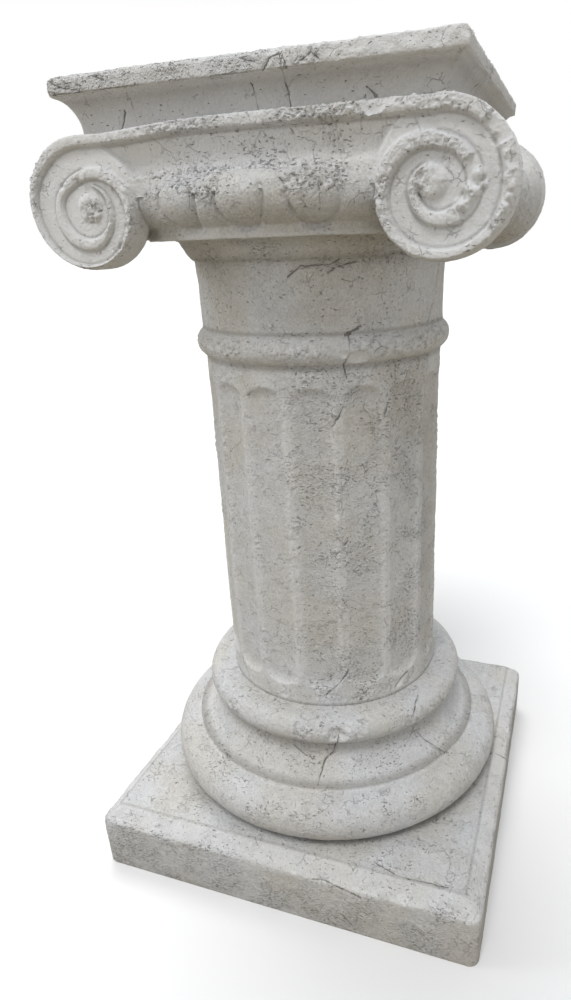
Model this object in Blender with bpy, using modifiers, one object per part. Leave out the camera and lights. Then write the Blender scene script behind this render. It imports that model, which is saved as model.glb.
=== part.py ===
"""Decorative column: a short Ionic column, cast in one piece with its plinth and its abacus.

Metres, +Z up. The origin is on the floor under the middle of the plinth. The front faces -Y.
"""
import math
import random

import bmesh
import bpy
from mathutils import Matrix

# Plinth
PLINTH_WIDTH = 0.400
PLINTH_HEIGHT = 0.0724
PLINTH_CORNER = 0.010
CHAMFER_WIDTH = 0.0157
CHAMFER_HEIGHT = 0.0132

# Base mouldings, from the plinth up
LOWER_TORUS_RADIUS = 0.1593
LOWER_TORUS_TUBE = 0.0251
SCOTIA_FILLET_HEIGHT = 0.0049
SCOTIA_HEIGHT = 0.0285
SCOTIA_FOOT_RADIUS = 0.1576
SCOTIA_HEAD_RADIUS = 0.1300
SCOTIA_LIP_HEIGHT = 0.0029
UPPER_TORUS_RADIUS = 0.1255
UPPER_TORUS_TUBE = 0.0153

# Shaft and neck
SHAFT_HEIGHT = 0.3339
SHAFT_FOOT_RADIUS = 0.1128
SHAFT_HEAD_RADIUS = 0.1103
ASTRAGAL_RADIUS = 0.1047
ASTRAGAL_TUBE = 0.0132
NECK_RADIUS = 0.1117
NECK_HEIGHT = 0.0552

# Flutes
FLUTES = 16
FLUTE_TURN = math.radians(2.5)
FLUTE_HALF_ANGLE = math.radians(9.4)
FLUTE_DEPTH = 0.0042
FLUTE_FOOT_MARGIN = 0.0205
FLUTE_HEAD_MARGIN = 0.0169
FLUTE_END = 0.012

# Flared band, fillet and echinus under the capital
FLARE_HEIGHT = 0.0165
FLARE_FOOT_RADIUS = 0.1166
FLARE_HEAD_RADIUS = 0.1253
FILLET_RADIUS = 0.1500
FILLET_HEIGHT = 0.0093
ECHINUS_RADIUS = 0.1490
ECHINUS_BULGE = 0.0172
ECHINUS_HALF_HEIGHT = 0.0172
EGG_ANGLE = math.radians(18.7)
EGG_SIZE = (0.0155, 0.0060, 0.0155)

# Abacus, with the cove under it
ABACUS_HALF = 0.1513
ABACUS_CORNER = 0.0030
FASCIA_HEIGHT = 0.0134
COVE_DEPTH = 0.0147
COVE_HEIGHT = 0.0224

# Capital: the two scrolled faces
FACE_PROUD = 0.0010
FACE_THICKNESS = 0.0120
RIM_HEIGHT = 0.0065
RIM_TUBE = 0.0055
SCROLL_X = 0.1325
# Outer radius of the scroll at each quarter turn, from its top outwards and in to the eye
SCROLL_RADII = (0.0495, 0.0526, 0.0478, 0.0411, 0.0300, 0.0288, 0.0262, 0.0192, 0.0140)
EYE_RADIUS = 0.0125
EYE_HEIGHT = 0.0070

# Bolsters, which run from the front scrolls to the back ones
BOLSTER_OUTSET = 0.0058
BOLSTER_WAIST = 0.0283
BOLSTER_END = 0.0455
BOLSTER_STRAIGHT = 0.065

# Levels, each one standing on the member below it
LOWER_TORUS_Z = PLINTH_HEIGHT + LOWER_TORUS_TUBE
SCOTIA_FOOT_Z = LOWER_TORUS_Z + LOWER_TORUS_TUBE + SCOTIA_FILLET_HEIGHT
SCOTIA_HEAD_Z = SCOTIA_FOOT_Z + SCOTIA_HEIGHT
UPPER_TORUS_Z = SCOTIA_HEAD_Z + SCOTIA_LIP_HEIGHT + UPPER_TORUS_TUBE
SHAFT_FOOT_Z = UPPER_TORUS_Z + UPPER_TORUS_TUBE
SHAFT_HEAD_Z = SHAFT_FOOT_Z + SHAFT_HEIGHT
ASTRAGAL_Z = SHAFT_HEAD_Z + ASTRAGAL_TUBE
NECK_TOP_Z = ASTRAGAL_Z + ASTRAGAL_TUBE + NECK_HEIGHT
FLUTE_FOOT_Z = SHAFT_FOOT_Z + FLUTE_FOOT_MARGIN
FLUTE_HEAD_Z = SHAFT_HEAD_Z - FLUTE_HEAD_MARGIN
FILLET_FOOT_Z = NECK_TOP_Z + FLARE_HEIGHT
FILLET_HEAD_Z = FILLET_FOOT_Z + FILLET_HEIGHT
ECHINUS_Z = FILLET_HEAD_Z + ECHINUS_HALF_HEIGHT + 0.0010
ECHINUS_TOP_Z = ECHINUS_Z + ECHINUS_HALF_HEIGHT
SCROLL_Z = ECHINUS_Z + 0.0015
SCROLL_TOP_Z = SCROLL_Z + SCROLL_RADII[0]
CANALIS_FOOT_Z = ECHINUS_TOP_Z - 0.0062
CORE_FOOT_Z = ECHINUS_TOP_Z - 0.0022
COVE_FOOT_Z = SCROLL_TOP_Z - 0.0024
ABACUS_FASCIA_Z = COVE_FOOT_Z + COVE_HEIGHT
ABACUS_TOP_Z = ABACUS_FASCIA_Z + FASCIA_HEIGHT
COVE_HALF = ABACUS_HALF - COVE_DEPTH
FACE_Y = ABACUS_HALF + FACE_PROUD
BOLSTER_X = SCROLL_X + BOLSTER_OUTSET
BOLSTER_Z = SCROLL_Z + 0.0005
CORE_RADIUS = COVE_HALF - 0.0166

TURN_STEPS = 40
MERGE = 0.00001


def clear_scene():
    for item in list(bpy.data.objects):
        bpy.data.objects.remove(item, do_unlink=True)


def new_collection(name):
    group = bpy.data.collections.new(name)
    bpy.context.scene.collection.children.link(group)
    return group


def add_object(name, mesh, group):
    item = bpy.data.objects.new(name, mesh)
    group.objects.link(item)
    return item


def arc(radius, centre_r, centre_z, start, end, count, half_height=None):
    """Points of a turned profile on an arc, angles in degrees from straight out, end included."""
    tall = radius if half_height is None else half_height
    points = []
    for i in range(count + 1):
        a = math.radians(start + (end - start) * i / count)
        points.append((centre_r + radius * math.cos(a), centre_z + tall * math.sin(a)))
    return points


def turned(name, profile, steps, group):
    """A profile of (radius, height) from top to bottom, turned about the object's own Z axis."""
    mesh = bpy.data.meshes.new(name)
    vertices = [(r, 0.0, z) for r, z in profile]
    mesh.from_pydata(vertices, [(i, i + 1) for i in range(len(vertices) - 1)], [])
    item = add_object(name, mesh, group)
    screw = item.modifiers.new("turn", "SCREW")
    screw.steps = steps
    screw.render_steps = steps
    screw.use_merge_vertices = True
    screw.merge_threshold = MERGE
    return item


def apply_modifiers(item, weld=MERGE):
    """Replace the object's mesh by its evaluated one, with its seams welded."""
    bpy.context.view_layer.update()
    shape = item.evaluated_get(bpy.context.evaluated_depsgraph_get())
    mesh = bpy.data.meshes.new_from_object(shape)
    bm = bmesh.new()
    bm.from_mesh(mesh)
    bmesh.ops.remove_doubles(bm, verts=bm.verts, dist=weld)
    bmesh.ops.recalc_face_normals(bm, faces=bm.faces)
    bm.to_mesh(mesh)
    bm.free()
    item.modifiers.clear()
    item.data = mesh
    return item


def curve_to_mesh(item, group):
    """The same shape as a mesh object with its caps welded; the curve is removed."""
    bpy.context.view_layer.update()
    shape = item.evaluated_get(bpy.context.evaluated_depsgraph_get())
    mesh = bpy.data.meshes.new_from_object(shape)
    bm = bmesh.new()
    bm.from_mesh(mesh)
    bmesh.ops.remove_doubles(bm, verts=bm.verts, dist=MERGE)
    bmesh.ops.recalc_face_normals(bm, faces=bm.faces)
    bm.to_mesh(mesh)
    bm.free()
    place = item.matrix_world.copy()
    name = item.name
    bpy.data.objects.remove(item, do_unlink=True)
    solid = add_object(name, mesh, group)
    solid.matrix_world = place
    return solid


def hide_as_guide(item):
    item.hide_render = True
    item.display_type = "WIRE"


def smoothstep(t):
    t = min(max(t, 0.0), 1.0)
    return t * t * (3.0 - 2.0 * t)


def column_profile():
    """The turned body from the capital's core down into the plinth."""
    core_top = (ECHINUS_TOP_Z + COVE_FOOT_Z) / 2
    points = [(0.0, core_top), (CORE_RADIUS, core_top), (CORE_RADIUS, ECHINUS_TOP_Z)]
    points += arc(ECHINUS_BULGE, ECHINUS_RADIUS, ECHINUS_Z, 82, -62, 5, ECHINUS_HALF_HEIGHT)
    points += [(FILLET_RADIUS, FILLET_HEAD_Z), (FILLET_RADIUS, FILLET_FOOT_Z)]
    points += [(FLARE_HEAD_RADIUS, FILLET_FOOT_Z - 0.0005), (FLARE_FOOT_RADIUS, NECK_TOP_Z + 0.001)]
    points += [(NECK_RADIUS + 0.0016, NECK_TOP_Z), (NECK_RADIUS, NECK_TOP_Z - 0.018)]
    points += [(NECK_RADIUS, ASTRAGAL_Z + 0.0125)]
    points += arc(ASTRAGAL_TUBE, ASTRAGAL_RADIUS, ASTRAGAL_Z, 58, -64, 5)
    points += [(SHAFT_HEAD_RADIUS, SHAFT_HEAD_Z), (SHAFT_FOOT_RADIUS, SHAFT_FOOT_Z + 0.0006)]
    points += [(UPPER_TORUS_RADIUS - 0.006, SHAFT_FOOT_Z)]
    points += arc(UPPER_TORUS_TUBE, UPPER_TORUS_RADIUS, UPPER_TORUS_Z, 84, -84, 6)
    points += [(SCOTIA_HEAD_RADIUS - 0.001, UPPER_TORUS_Z - UPPER_TORUS_TUBE)]
    points += scotia()
    points += [(SCOTIA_FOOT_RADIUS + 0.0005, LOWER_TORUS_Z + LOWER_TORUS_TUBE + 0.0002)]
    points += arc(LOWER_TORUS_TUBE, LOWER_TORUS_RADIUS, LOWER_TORUS_Z, 82, -82, 8)
    points += [(LOWER_TORUS_RADIUS, PLINTH_HEIGHT - 0.010), (0.0, PLINTH_HEIGHT - 0.010)]
    return points


def scotia():
    """A hollow moulding that sweeps out from under the upper torus to its own foot."""
    points = []
    steps = 4
    for i in range(steps + 1):
        a = math.radians(90.0 * i / steps)
        r = SCOTIA_FOOT_RADIUS - (SCOTIA_FOOT_RADIUS - SCOTIA_HEAD_RADIUS) * math.cos(a)
        z = SCOTIA_HEAD_Z - (SCOTIA_HEAD_Z - SCOTIA_FOOT_Z) * math.sin(a)
        points.append((r, z))
    return points


def rounded_square(half, corner, steps=3):
    """The corners of a square outline, each one an arc of a few points."""
    points = []
    for quarter in range(4):
        middle = math.radians(45.0 + 90.0 * quarter)
        cx = math.copysign(half - corner, math.cos(middle))
        cy = math.copysign(half - corner, math.sin(middle))
        for i in range(steps + 1):
            a = math.radians(90.0 * quarter + 90.0 * i / steps)
            points.append((cx + corner * math.cos(a), cy + corner * math.sin(a)))
    return points


def plinth(group):
    """A square slab with rounded upright corners and a broad worn chamfer along its top edge."""
    half = PLINTH_WIDTH / 2
    foot = PLINTH_HEIGHT - CHAMFER_HEIGHT
    levels = [(0.0, 0.0), (0.0, foot - 0.0022), (0.0014, foot + 0.0010)]
    levels += [(CHAMFER_WIDTH - 0.0022, PLINTH_HEIGHT - 0.0008), (CHAMFER_WIDTH + 0.0010, PLINTH_HEIGHT)]
    mesh = bpy.data.meshes.new("plinth")
    bm = bmesh.new()
    loops = []
    for inset, z in levels:
        corner = max(PLINTH_CORNER - 0.4 * inset, 0.002)
        loops.append([bm.verts.new((x, y, z)) for x, y in rounded_square(half - inset, corner)])
    for low, high in zip(loops, loops[1:]):
        for i in range(len(low)):
            j = (i + 1) % len(low)
            bm.faces.new((low[i], low[j], high[j], high[i]))
    bm.faces.new(list(reversed(loops[0])))
    bm.faces.new(loops[-1])
    bm.to_mesh(mesh)
    bm.free()
    return add_object("plinth", mesh, group)


def abacus(group):
    """The square slab, the cove under it and the capital's core: a profile turned in four steps."""
    root2 = math.sqrt(2.0)
    profile = [(0.0, ABACUS_TOP_Z), (ABACUS_HALF, ABACUS_TOP_Z), (ABACUS_HALF, ABACUS_FASCIA_Z)]
    steps = 5
    for i in range(steps + 1):
        a = math.radians(8.0 + 82.0 * i / steps)
        inset, drop = COVE_DEPTH * math.sin(a), COVE_HEIGHT * (1 - math.cos(a))
        profile.append((ABACUS_HALF - inset, ABACUS_FASCIA_Z - drop))
    profile += [(COVE_HALF, CORE_FOOT_Z), (0.0, CORE_FOOT_Z)]
    slab = turned("abacus", [(r * root2, z) for r, z in profile], 4, group)
    apply_modifiers(slab)
    mesh = slab.data
    mesh.transform(Matrix.Rotation(math.radians(45.0), 4, "Z"))
    bm = bmesh.new()
    bm.from_mesh(mesh)
    corners = []
    for edge in bm.edges:
        low, high = sorted(v.co.z for v in edge.verts)
        diagonal = all(abs(abs(v.co.x) - abs(v.co.y)) < 1e-4 for v in edge.verts)
        if diagonal and min(abs(v.co.x) for v in edge.verts) > COVE_HALF / 2 and high - low > 1e-5:
            corners.append(edge)
    bmesh.ops.bevel(bm, geom=corners, offset=ABACUS_CORNER, segments=2, profile=0.5, affect="EDGES")
    bmesh.ops.recalc_face_normals(bm, faces=bm.faces)
    bm.to_mesh(mesh)
    bm.free()
    return slab


def scroll_radius(turn):
    """Outer radius of the scroll at a turn in degrees, 0 at its top."""
    place = min(max(turn / 90.0, 0.0), len(SCROLL_RADII) - 1.0)
    k = min(int(place), len(SCROLL_RADII) - 2)
    t = place - k
    before = SCROLL_RADII[max(k - 1, 0)]
    a, b = SCROLL_RADII[k], SCROLL_RADII[k + 1]
    after = SCROLL_RADII[min(k + 2, len(SCROLL_RADII) - 1)]
    return 0.5 * (2 * a + (b - before) * t + (2 * before - 5 * a + 4 * b - after) * t * t
                  + (3 * a - before - 3 * b + after) * t ** 3)


def scroll_point(turn, inset, side):
    """A point of the scroll in the face's plane (x, z), inset from its outer edge."""
    radius = scroll_radius(turn) - inset
    a = math.radians(turn)
    return (side * (SCROLL_X + radius * math.sin(a)), SCROLL_Z + radius * math.cos(a))


def face_slab(group):
    """The flat ground of a capital face: both scroll discs and the canalis between them."""
    inset = 0.0012
    outline = [scroll_point(t, inset, 1) for t in range(0, 271, 18)]
    inner = SCROLL_X - 0.0405
    outline += [(inner, CANALIS_FOOT_Z), (-inner, CANALIS_FOOT_Z)]
    outline += [scroll_point(t, inset, -1) for t in range(270, -1, -18)]
    curve = bpy.data.curves.new("face", "CURVE")
    curve.dimensions = "2D"
    curve.fill_mode = "BOTH"
    curve.extrude = FACE_THICKNESS / 2
    spline = curve.splines.new("POLY")
    spline.points.add(len(outline) - 1)
    for point, (x, z) in zip(spline.points, outline):
        point.co = (x, z, 0.0, 1.0)
    spline.use_cyclic_u = True
    item = bpy.data.objects.new("face", curve)
    group.objects.link(item)
    item.rotation_euler = (math.radians(90.0), 0.0, 0.0)
    item.location = (0.0, -(FACE_Y - RIM_HEIGHT - FACE_THICKNESS / 2), 0.0)
    return curve_to_mesh(item, group)


def rim(group):
    """The raised rim: one rod from the left eye out, along the canalis and in to the right eye."""
    path = [scroll_point(t, RIM_TUBE, -1) for t in range(686, 0, -20)]
    path += [(-SCROLL_X, SCROLL_TOP_Z - RIM_TUBE), (SCROLL_X, SCROLL_TOP_Z - RIM_TUBE)]
    path += [scroll_point(t, RIM_TUBE, 1) for t in range(6, 687, 20)]
    curve = bpy.data.curves.new("rim", "CURVE")
    curve.dimensions = "3D"
    curve.bevel_depth = RIM_TUBE
    curve.bevel_resolution = 1
    curve.use_fill_caps = True
    spline = curve.splines.new("POLY")
    spline.points.add(len(path) - 1)
    count = len(path)
    for i, (point, (x, z)) in enumerate(zip(spline.points, path)):
        inward = max(0.0, 1.0 - min(i, count - 1 - i) / 16.0)
        point.co = (x, 0.0, z, 1.0)
        point.radius = 1.0 - 0.22 * inward
    item = bpy.data.objects.new("rim", curve)
    group.objects.link(item)
    item.location = (0.0, -(FACE_Y - RIM_TUBE), 0.0)
    return curve_to_mesh(item, group)


def eye(side, group):
    """The domed boss in the middle of a scroll."""
    mesh = bpy.data.meshes.new("eye")
    bm = bmesh.new()
    bmesh.ops.create_uvsphere(bm, u_segments=12, v_segments=6, radius=1.0)
    squash = Matrix.Diagonal((EYE_RADIUS, EYE_RADIUS, EYE_HEIGHT, 1.0))
    bmesh.ops.transform(bm, matrix=Matrix.Rotation(math.radians(90.0), 4, "X") @ squash, verts=bm.verts)
    bm.to_mesh(mesh)
    bm.free()
    item = add_object("eye", mesh, group)
    item.location = (side * (SCROLL_X - 0.001), -(FACE_Y - RIM_HEIGHT - 0.0007), SCROLL_Z + 0.0005)
    return item


def bolster(side, group):
    """The waisted roll that joins a front scroll to the back one behind it."""
    end_y = FACE_Y - RIM_HEIGHT - 0.003
    profile = [(0.0, end_y)]
    flare = end_y - BOLSTER_STRAIGHT
    half = [0.0] + [BOLSTER_STRAIGHT + flare * i / 5 for i in range(6)]
    for y in list(reversed(half)) + [-v for v in half[1:]]:
        swell = smoothstep((abs(y) - BOLSTER_STRAIGHT) / flare)
        profile.append((BOLSTER_WAIST + (BOLSTER_END - BOLSTER_WAIST) * swell, y))
    profile.append((0.0, -end_y))
    item = turned("bolster", profile, 24, group)
    apply_modifiers(item)
    item.data.transform(Matrix.Rotation(math.radians(90.0), 4, "X"))
    item.location = (side * BOLSTER_X, 0.0, BOLSTER_Z)
    return item


def egg(angle, group):
    """One egg of the echinus, in low relief."""
    mesh = bpy.data.meshes.new("egg")
    bm = bmesh.new()
    bmesh.ops.create_uvsphere(bm, u_segments=10, v_segments=6, radius=1.0)
    bmesh.ops.transform(bm, matrix=Matrix.Diagonal((*EGG_SIZE, 1.0)), verts=bm.verts)
    bm.to_mesh(mesh)
    bm.free()
    item = add_object("egg", mesh, group)
    reach = ECHINUS_RADIUS + ECHINUS_BULGE - 0.0035
    item.rotation_euler = (math.radians(-8.0), 0.0, angle + math.radians(90.0))
    item.location = (reach * math.cos(angle), reach * math.sin(angle), ECHINUS_Z - 0.0010)
    return item


def flute_cutter(group):
    """A tall roll with soft ends; its side scoops one flute out of the shaft."""
    mean = (SHAFT_FOOT_RADIUS + SHAFT_HEAD_RADIUS) / 2
    half_width = mean * math.sin(FLUTE_HALF_ANGLE)
    sag = FLUTE_DEPTH - mean * (1 - math.cos(FLUTE_HALF_ANGLE))
    radius = (half_width ** 2 + sag ** 2) / (2 * sag)
    reach = mean - FLUTE_DEPTH + radius
    middle = (FLUTE_FOOT_Z + FLUTE_HEAD_Z) / 2
    half = (FLUTE_HEAD_Z - FLUTE_FOOT_Z) / 2
    steps = 2
    top = []
    for i in range(steps + 1):
        a = math.radians(90.0 * i / steps)
        top.append((radius - FLUTE_DEPTH * 1.15 * (1 - math.sin(a)), half - FLUTE_END * (1 - math.cos(a))))
    profile = [(0.0, half)] + top + [(r, -z) for r, z in reversed(top)] + [(0.0, -half)]
    item = turned("flute", profile, 48, group)
    apply_modifiers(item)
    lean = math.atan2(SHAFT_FOOT_RADIUS - SHAFT_HEAD_RADIUS, SHAFT_HEIGHT)
    item.data.transform(Matrix.Rotation(-lean, 4, "Y"))
    item.data.transform(Matrix.Translation((reach, 0.0, middle)))
    return item


def chip(name, place, size, turn, seed, group):
    """A rough lump, whose overlap with the column is a bruise or a broken edge."""
    rng = random.Random(seed)
    mesh = bpy.data.meshes.new(name)
    bm = bmesh.new()
    bmesh.ops.create_icosphere(bm, subdivisions=1, radius=1.0)
    for v in bm.verts:
        v.co = v.co * rng.uniform(0.82, 1.12)
    bmesh.ops.transform(bm, matrix=Matrix.Diagonal((*size, 1.0)), verts=bm.verts)
    bm.to_mesh(mesh)
    bm.free()
    item = add_object(name, mesh, group)
    item.location = place
    item.rotation_euler = (0.0, 0.0, math.radians(turn))
    return item


def around(radius, angle, z):
    """A place beside the column, by its angle in degrees from +X."""
    a = math.radians(angle)
    return (radius * math.cos(a), radius * math.sin(a), z)


def damage(group):
    """The larger breaks of the cast, each one kept where it is."""
    shaft = SHAFT_HEAD_RADIUS
    middle = SHAFT_FOOT_Z + SHAFT_HEIGHT / 2
    front = -ABACUS_HALF
    chip("shaft_bruise", around(shaft + 0.0079, 9.7, middle + 0.0225), (0.0125, 0.010, 0.012), 10, 3, group)
    chip("shaft_gouge", around(shaft + 0.0072, -78.2, middle + 0.0525), (0.016, 0.012, 0.020), 12, 5, group)
    chip("abacus_chip", (0.0230, front - 0.0037, ABACUS_TOP_Z - 0.0034), (0.020, 0.0085, 0.010), 0, 7, group)
    chip("abacus_chip_right", (0.0700, front - 0.0032, ABACUS_TOP_Z - 0.0089),
         (0.024, 0.0065, 0.007), 0, 8, group)
    chip("torus_chip", around(UPPER_TORUS_RADIUS + UPPER_TORUS_TUBE + 0.0032, -69.7, UPPER_TORUS_Z - 0.0007),
         (0.017, 0.010, 0.012), 20, 9, group)
    chip("rim_chip", (0.0975, -FACE_Y - 0.0027, SCROLL_TOP_Z - 0.0055), (0.011, 0.007, 0.009), 0, 11, group)
    chip("astragal_chip", around(ASTRAGAL_RADIUS + ASTRAGAL_TUBE + 0.0030, -55.8, ASTRAGAL_Z - 0.0076),
         (0.018, 0.009, 0.009), 35, 13, group)
    edge = -PLINTH_WIDTH / 2
    arris = PLINTH_HEIGHT - CHAMFER_HEIGHT
    chip("plinth_chip", (0.0300, edge - 0.0040, arris + 0.0030), (0.032, 0.0075, 0.008), 0, 15, group)
    chip("plinth_chip_right", (0.1300, edge - 0.0036, arris + 0.0030), (0.042, 0.0072, 0.008), 0, 17, group)


def combine(item, other, operation):
    """Join another solid to this one, or cut it away, and keep the result as its mesh."""
    boolean = item.modifiers.new(other.name, "BOOLEAN")
    boolean.operation = operation
    boolean.object = other
    boolean.solver = "EXACT"
    apply_modifiers(item, MERGE / 2)


def stone():
    material = bpy.data.materials.new("cast_stone")
    material.use_nodes = True
    shader = material.node_tree.nodes["Principled BSDF"]
    shader.inputs["Base Color"].default_value = (0.66, 0.65, 0.62, 1.0)
    shader.inputs["Roughness"].default_value = 0.85
    shader.inputs["Metallic"].default_value = 0.0
    return material


def main():
    clear_scene()
    parts = new_collection("decorative_column")
    members = new_collection("members")
    cutters = new_collection("cutters")

    column = turned("column", column_profile(), TURN_STEPS, parts)
    apply_modifiers(column)
    plinth(members)
    abacus(members)
    for side in (1, -1):
        bolster(side, members)
    front = [face_slab(members), rim(members), eye(1, members), eye(-1, members)]
    front += [egg(math.radians(-90.0) + k * EGG_ANGLE, members) for k in (-1, 0, 1)]
    bpy.context.view_layer.update()
    for item in front:
        back = add_object(item.name + "_back", item.data, members)
        back.matrix_world = Matrix.Rotation(math.pi, 4, "Z") @ item.matrix_world

    first = flute_cutter(cutters)
    for k in range(FLUTES):
        item = first if k == 0 else add_object("flute", first.data, cutters)
        turn = FLUTE_TURN + math.radians(-90.0) + (k + 0.5) * 2 * math.pi / FLUTES
        item.rotation_euler = (0.0, 0.0, turn)
    damage(cutters)

    for item in members.objects:
        combine(column, item, "UNION")
    for item in cutters.objects:
        combine(column, item, "DIFFERENCE")
    for item in list(members.objects) + list(cutters.objects):
        hide_as_guide(item)

    column.data.materials.append(stone())
    column.data.shade_smooth()
    column.data.set_sharp_from_angle(angle=math.radians(32.0))
    bpy.context.view_layer.update()


if __name__ == "__main__":
    main()
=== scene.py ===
"""Weathered cast-stone column: its worn relief, its finish, and the pale stage it stands on."""

import math
from itertools import product

import bmesh
import bpy
import numpy as np
from bpy.props import FloatProperty, IntProperty, PointerProperty, StringProperty
from mathutils import Matrix, Vector


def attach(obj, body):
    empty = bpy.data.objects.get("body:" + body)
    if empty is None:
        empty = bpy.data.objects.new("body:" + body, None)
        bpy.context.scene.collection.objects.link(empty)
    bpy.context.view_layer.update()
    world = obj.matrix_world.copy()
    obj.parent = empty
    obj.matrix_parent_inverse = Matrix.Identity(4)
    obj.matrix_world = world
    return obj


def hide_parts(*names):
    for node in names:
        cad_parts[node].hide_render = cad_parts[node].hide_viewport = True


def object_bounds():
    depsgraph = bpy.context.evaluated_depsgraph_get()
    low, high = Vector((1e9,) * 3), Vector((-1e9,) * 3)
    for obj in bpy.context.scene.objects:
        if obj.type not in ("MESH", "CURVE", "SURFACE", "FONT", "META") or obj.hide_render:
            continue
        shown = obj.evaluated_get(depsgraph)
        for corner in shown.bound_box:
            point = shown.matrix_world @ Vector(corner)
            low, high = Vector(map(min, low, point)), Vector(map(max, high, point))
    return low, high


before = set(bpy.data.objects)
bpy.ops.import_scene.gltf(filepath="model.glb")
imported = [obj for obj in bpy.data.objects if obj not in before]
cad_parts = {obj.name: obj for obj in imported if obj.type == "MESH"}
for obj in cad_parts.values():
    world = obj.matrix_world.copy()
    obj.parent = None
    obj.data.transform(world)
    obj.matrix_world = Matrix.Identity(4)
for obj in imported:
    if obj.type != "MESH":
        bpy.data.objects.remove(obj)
CAD_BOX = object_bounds()

bl_info = {
    "name": "Weathered stone column",
    "version": (1, 0, 0),
    "blender": (4, 5, 0),
    "location": "3D View > Sidebar > Column",
    "description": "A short scrolled column in worn cast stone, built around its packed solid",
    "category": "Object",
}

NODE = "column"
MM = 0.001

# The side of the column that shows most, in degrees round it, and how far to each side of that the mesh is
# fine
SHOWN_SIDE = -70.0
SHOWN_HALF = 98.0


# ---------------------------------------------------------------- settings


def length(name, description, default):
    """A size in metres that a user may change."""
    return FloatProperty(name=name, description=description, default=default, precision=4, unit="LENGTH")


def share(name, description, default):
    """A strength that a user may change, 1 as it stands."""
    return FloatProperty(name=name, description=description, default=default, min=0.0, max=4.0,
                         subtype="FACTOR")


def tint(name, description, default):
    """A colour that a user may change, as an sRGB hex value."""
    return StringProperty(name=name, description=description, default=default)


class ColumnSizes(bpy.types.PropertyGroup):
    """The sizes of the column, as its solid has them."""

    plinth_width: length("Plinth width", "Side of the square plinth", 0.400)
    plinth_height: length("Plinth height", "From the floor to the plinth's level top", 0.0724)
    plinth_corner: length("Plinth corner", "Radius of the upright corners", 0.010)
    chamfer_width: length("Chamfer width", "How far the worn chamfer reaches in", 0.0157)
    chamfer_height: length("Chamfer height", "How far the worn chamfer reaches down", 0.0132)
    lower_torus_radius: length("Lower torus", "Radius to the middle of the lower torus", 0.1593)
    lower_torus_tube: length("Lower torus roll", "Radius of the lower torus' own roll", 0.0251)
    scotia_fillet: length("Scotia fillet", "Height of the fillet at the scotia's foot", 0.0049)
    scotia_height: length("Scotia height", "Height of the hollow moulding", 0.0285)
    scotia_foot: length("Scotia foot", "Radius at the foot of the hollow moulding", 0.1576)
    scotia_head: length("Scotia head", "Radius at the head of the hollow moulding", 0.1300)
    scotia_lip: length("Scotia lip", "Height of the lip under the upper torus", 0.0029)
    upper_torus_radius: length("Upper torus", "Radius to the middle of the upper torus", 0.1255)
    upper_torus_tube: length("Upper torus roll", "Radius of the upper torus' own roll", 0.0153)
    shaft_height: length("Shaft height", "From the upper torus to the astragal", 0.3339)
    shaft_foot: length("Shaft foot", "Radius of the shaft at its foot", 0.1128)
    shaft_head: length("Shaft head", "Radius of the shaft at its head", 0.1103)
    astragal_radius: length("Astragal", "Radius to the middle of the astragal", 0.1047)
    astragal_tube: length("Astragal roll", "Radius of the astragal's own roll", 0.0132)
    neck_radius: length("Neck", "Radius of the plain neck", 0.1117)
    neck_height: length("Neck height", "From the astragal to the flared band", 0.0552)
    flare_height: length("Flare height", "Height of the flared band", 0.0165)
    flare_foot: length("Flare foot", "Radius at the foot of the flared band", 0.1166)
    flare_head: length("Flare head", "Radius at the head of the flared band", 0.1253)
    fillet_radius: length("Fillet", "Radius of the fillet under the echinus", 0.1500)
    fillet_height: length("Fillet height", "Height of the fillet under the echinus", 0.0093)
    echinus_radius: length("Echinus", "Radius to the middle of the echinus' roll", 0.1490)
    echinus_bulge: length("Echinus bulge", "How far the echinus swells out", 0.0172)
    echinus_half: length("Echinus half height", "Half the height of the echinus", 0.0172)
    abacus_half: length("Abacus half width", "Half the side of the square abacus", 0.1513)
    abacus_corner: length("Abacus corner", "Radius of the abacus' upright corners", 0.0030)
    fascia_height: length("Fascia height", "Height of the abacus' flat edge", 0.0134)
    cove_depth: length("Cove depth", "How far the cove under the fascia goes in", 0.0147)
    cove_height: length("Cove height", "Height of the cove", 0.0224)
    face_proud: length("Face proud", "How far the scrolled face stands before the abacus", 0.0010)
    rim_height: length("Rim height", "Relief of the scroll's rim", 0.0065)
    rim_width: length("Rim width", "Width of the scroll's rim", 0.0110)
    scroll_x: length("Scroll place", "From the middle of the face to a scroll's eye", 0.1325)
    eye_radius: length("Eye radius", "Radius of the boss in a scroll", 0.0125)
    bolster_outset: length("Bolster outset", "From the scroll's eye to the bolster's axis", 0.0058)
    bolster_waist: length("Bolster waist", "Radius of the bolster at its waist", 0.0283)
    bolster_end: length("Bolster end", "Radius of the bolster behind a scroll", 0.0455)
    bolster_straight: length("Bolster straight", "Half the length of the bolster's waist", 0.065)
    flutes: IntProperty(name="Flutes", description="Flutes round the shaft", default=16, min=4)
    flute_depth: length("Flute depth", "Depth of a flute in its middle", 0.0042)
    flute_foot: length("Flute foot", "Plain height under the flutes", 0.0205)
    flute_head: length("Flute head", "Plain height over the flutes", 0.0169)


class ColumnWear(bpy.types.PropertyGroup):
    """How worn the casting is, and how finely it is meshed."""

    grain: length("Mesh grain", "Spacing of the mesh on the sides that show most", 0.00134)
    coarse: length("Coarse grain", "Spacing of the mesh round the back", 0.0028)
    face_grain: length("Face grain", "Spacing of the mesh on the front scrolled face", 0.00085)
    waves: length("Waves", "Slow unevenness of the hand-made mould", 0.00045)
    sand: length("Sand", "Fine unevenness of the skin", 0.00016)
    crumb: length("Crumb", "Relief where the skin has crumbled away", 0.0017)
    crack: length("Crack depth", "Depth of the cracks", 0.0016)
    pit: length("Pit depth", "Depth of the larger pits", 0.0010)
    pitting: share("Pitting", "How much of the surface is pitted", 1.0)


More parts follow.
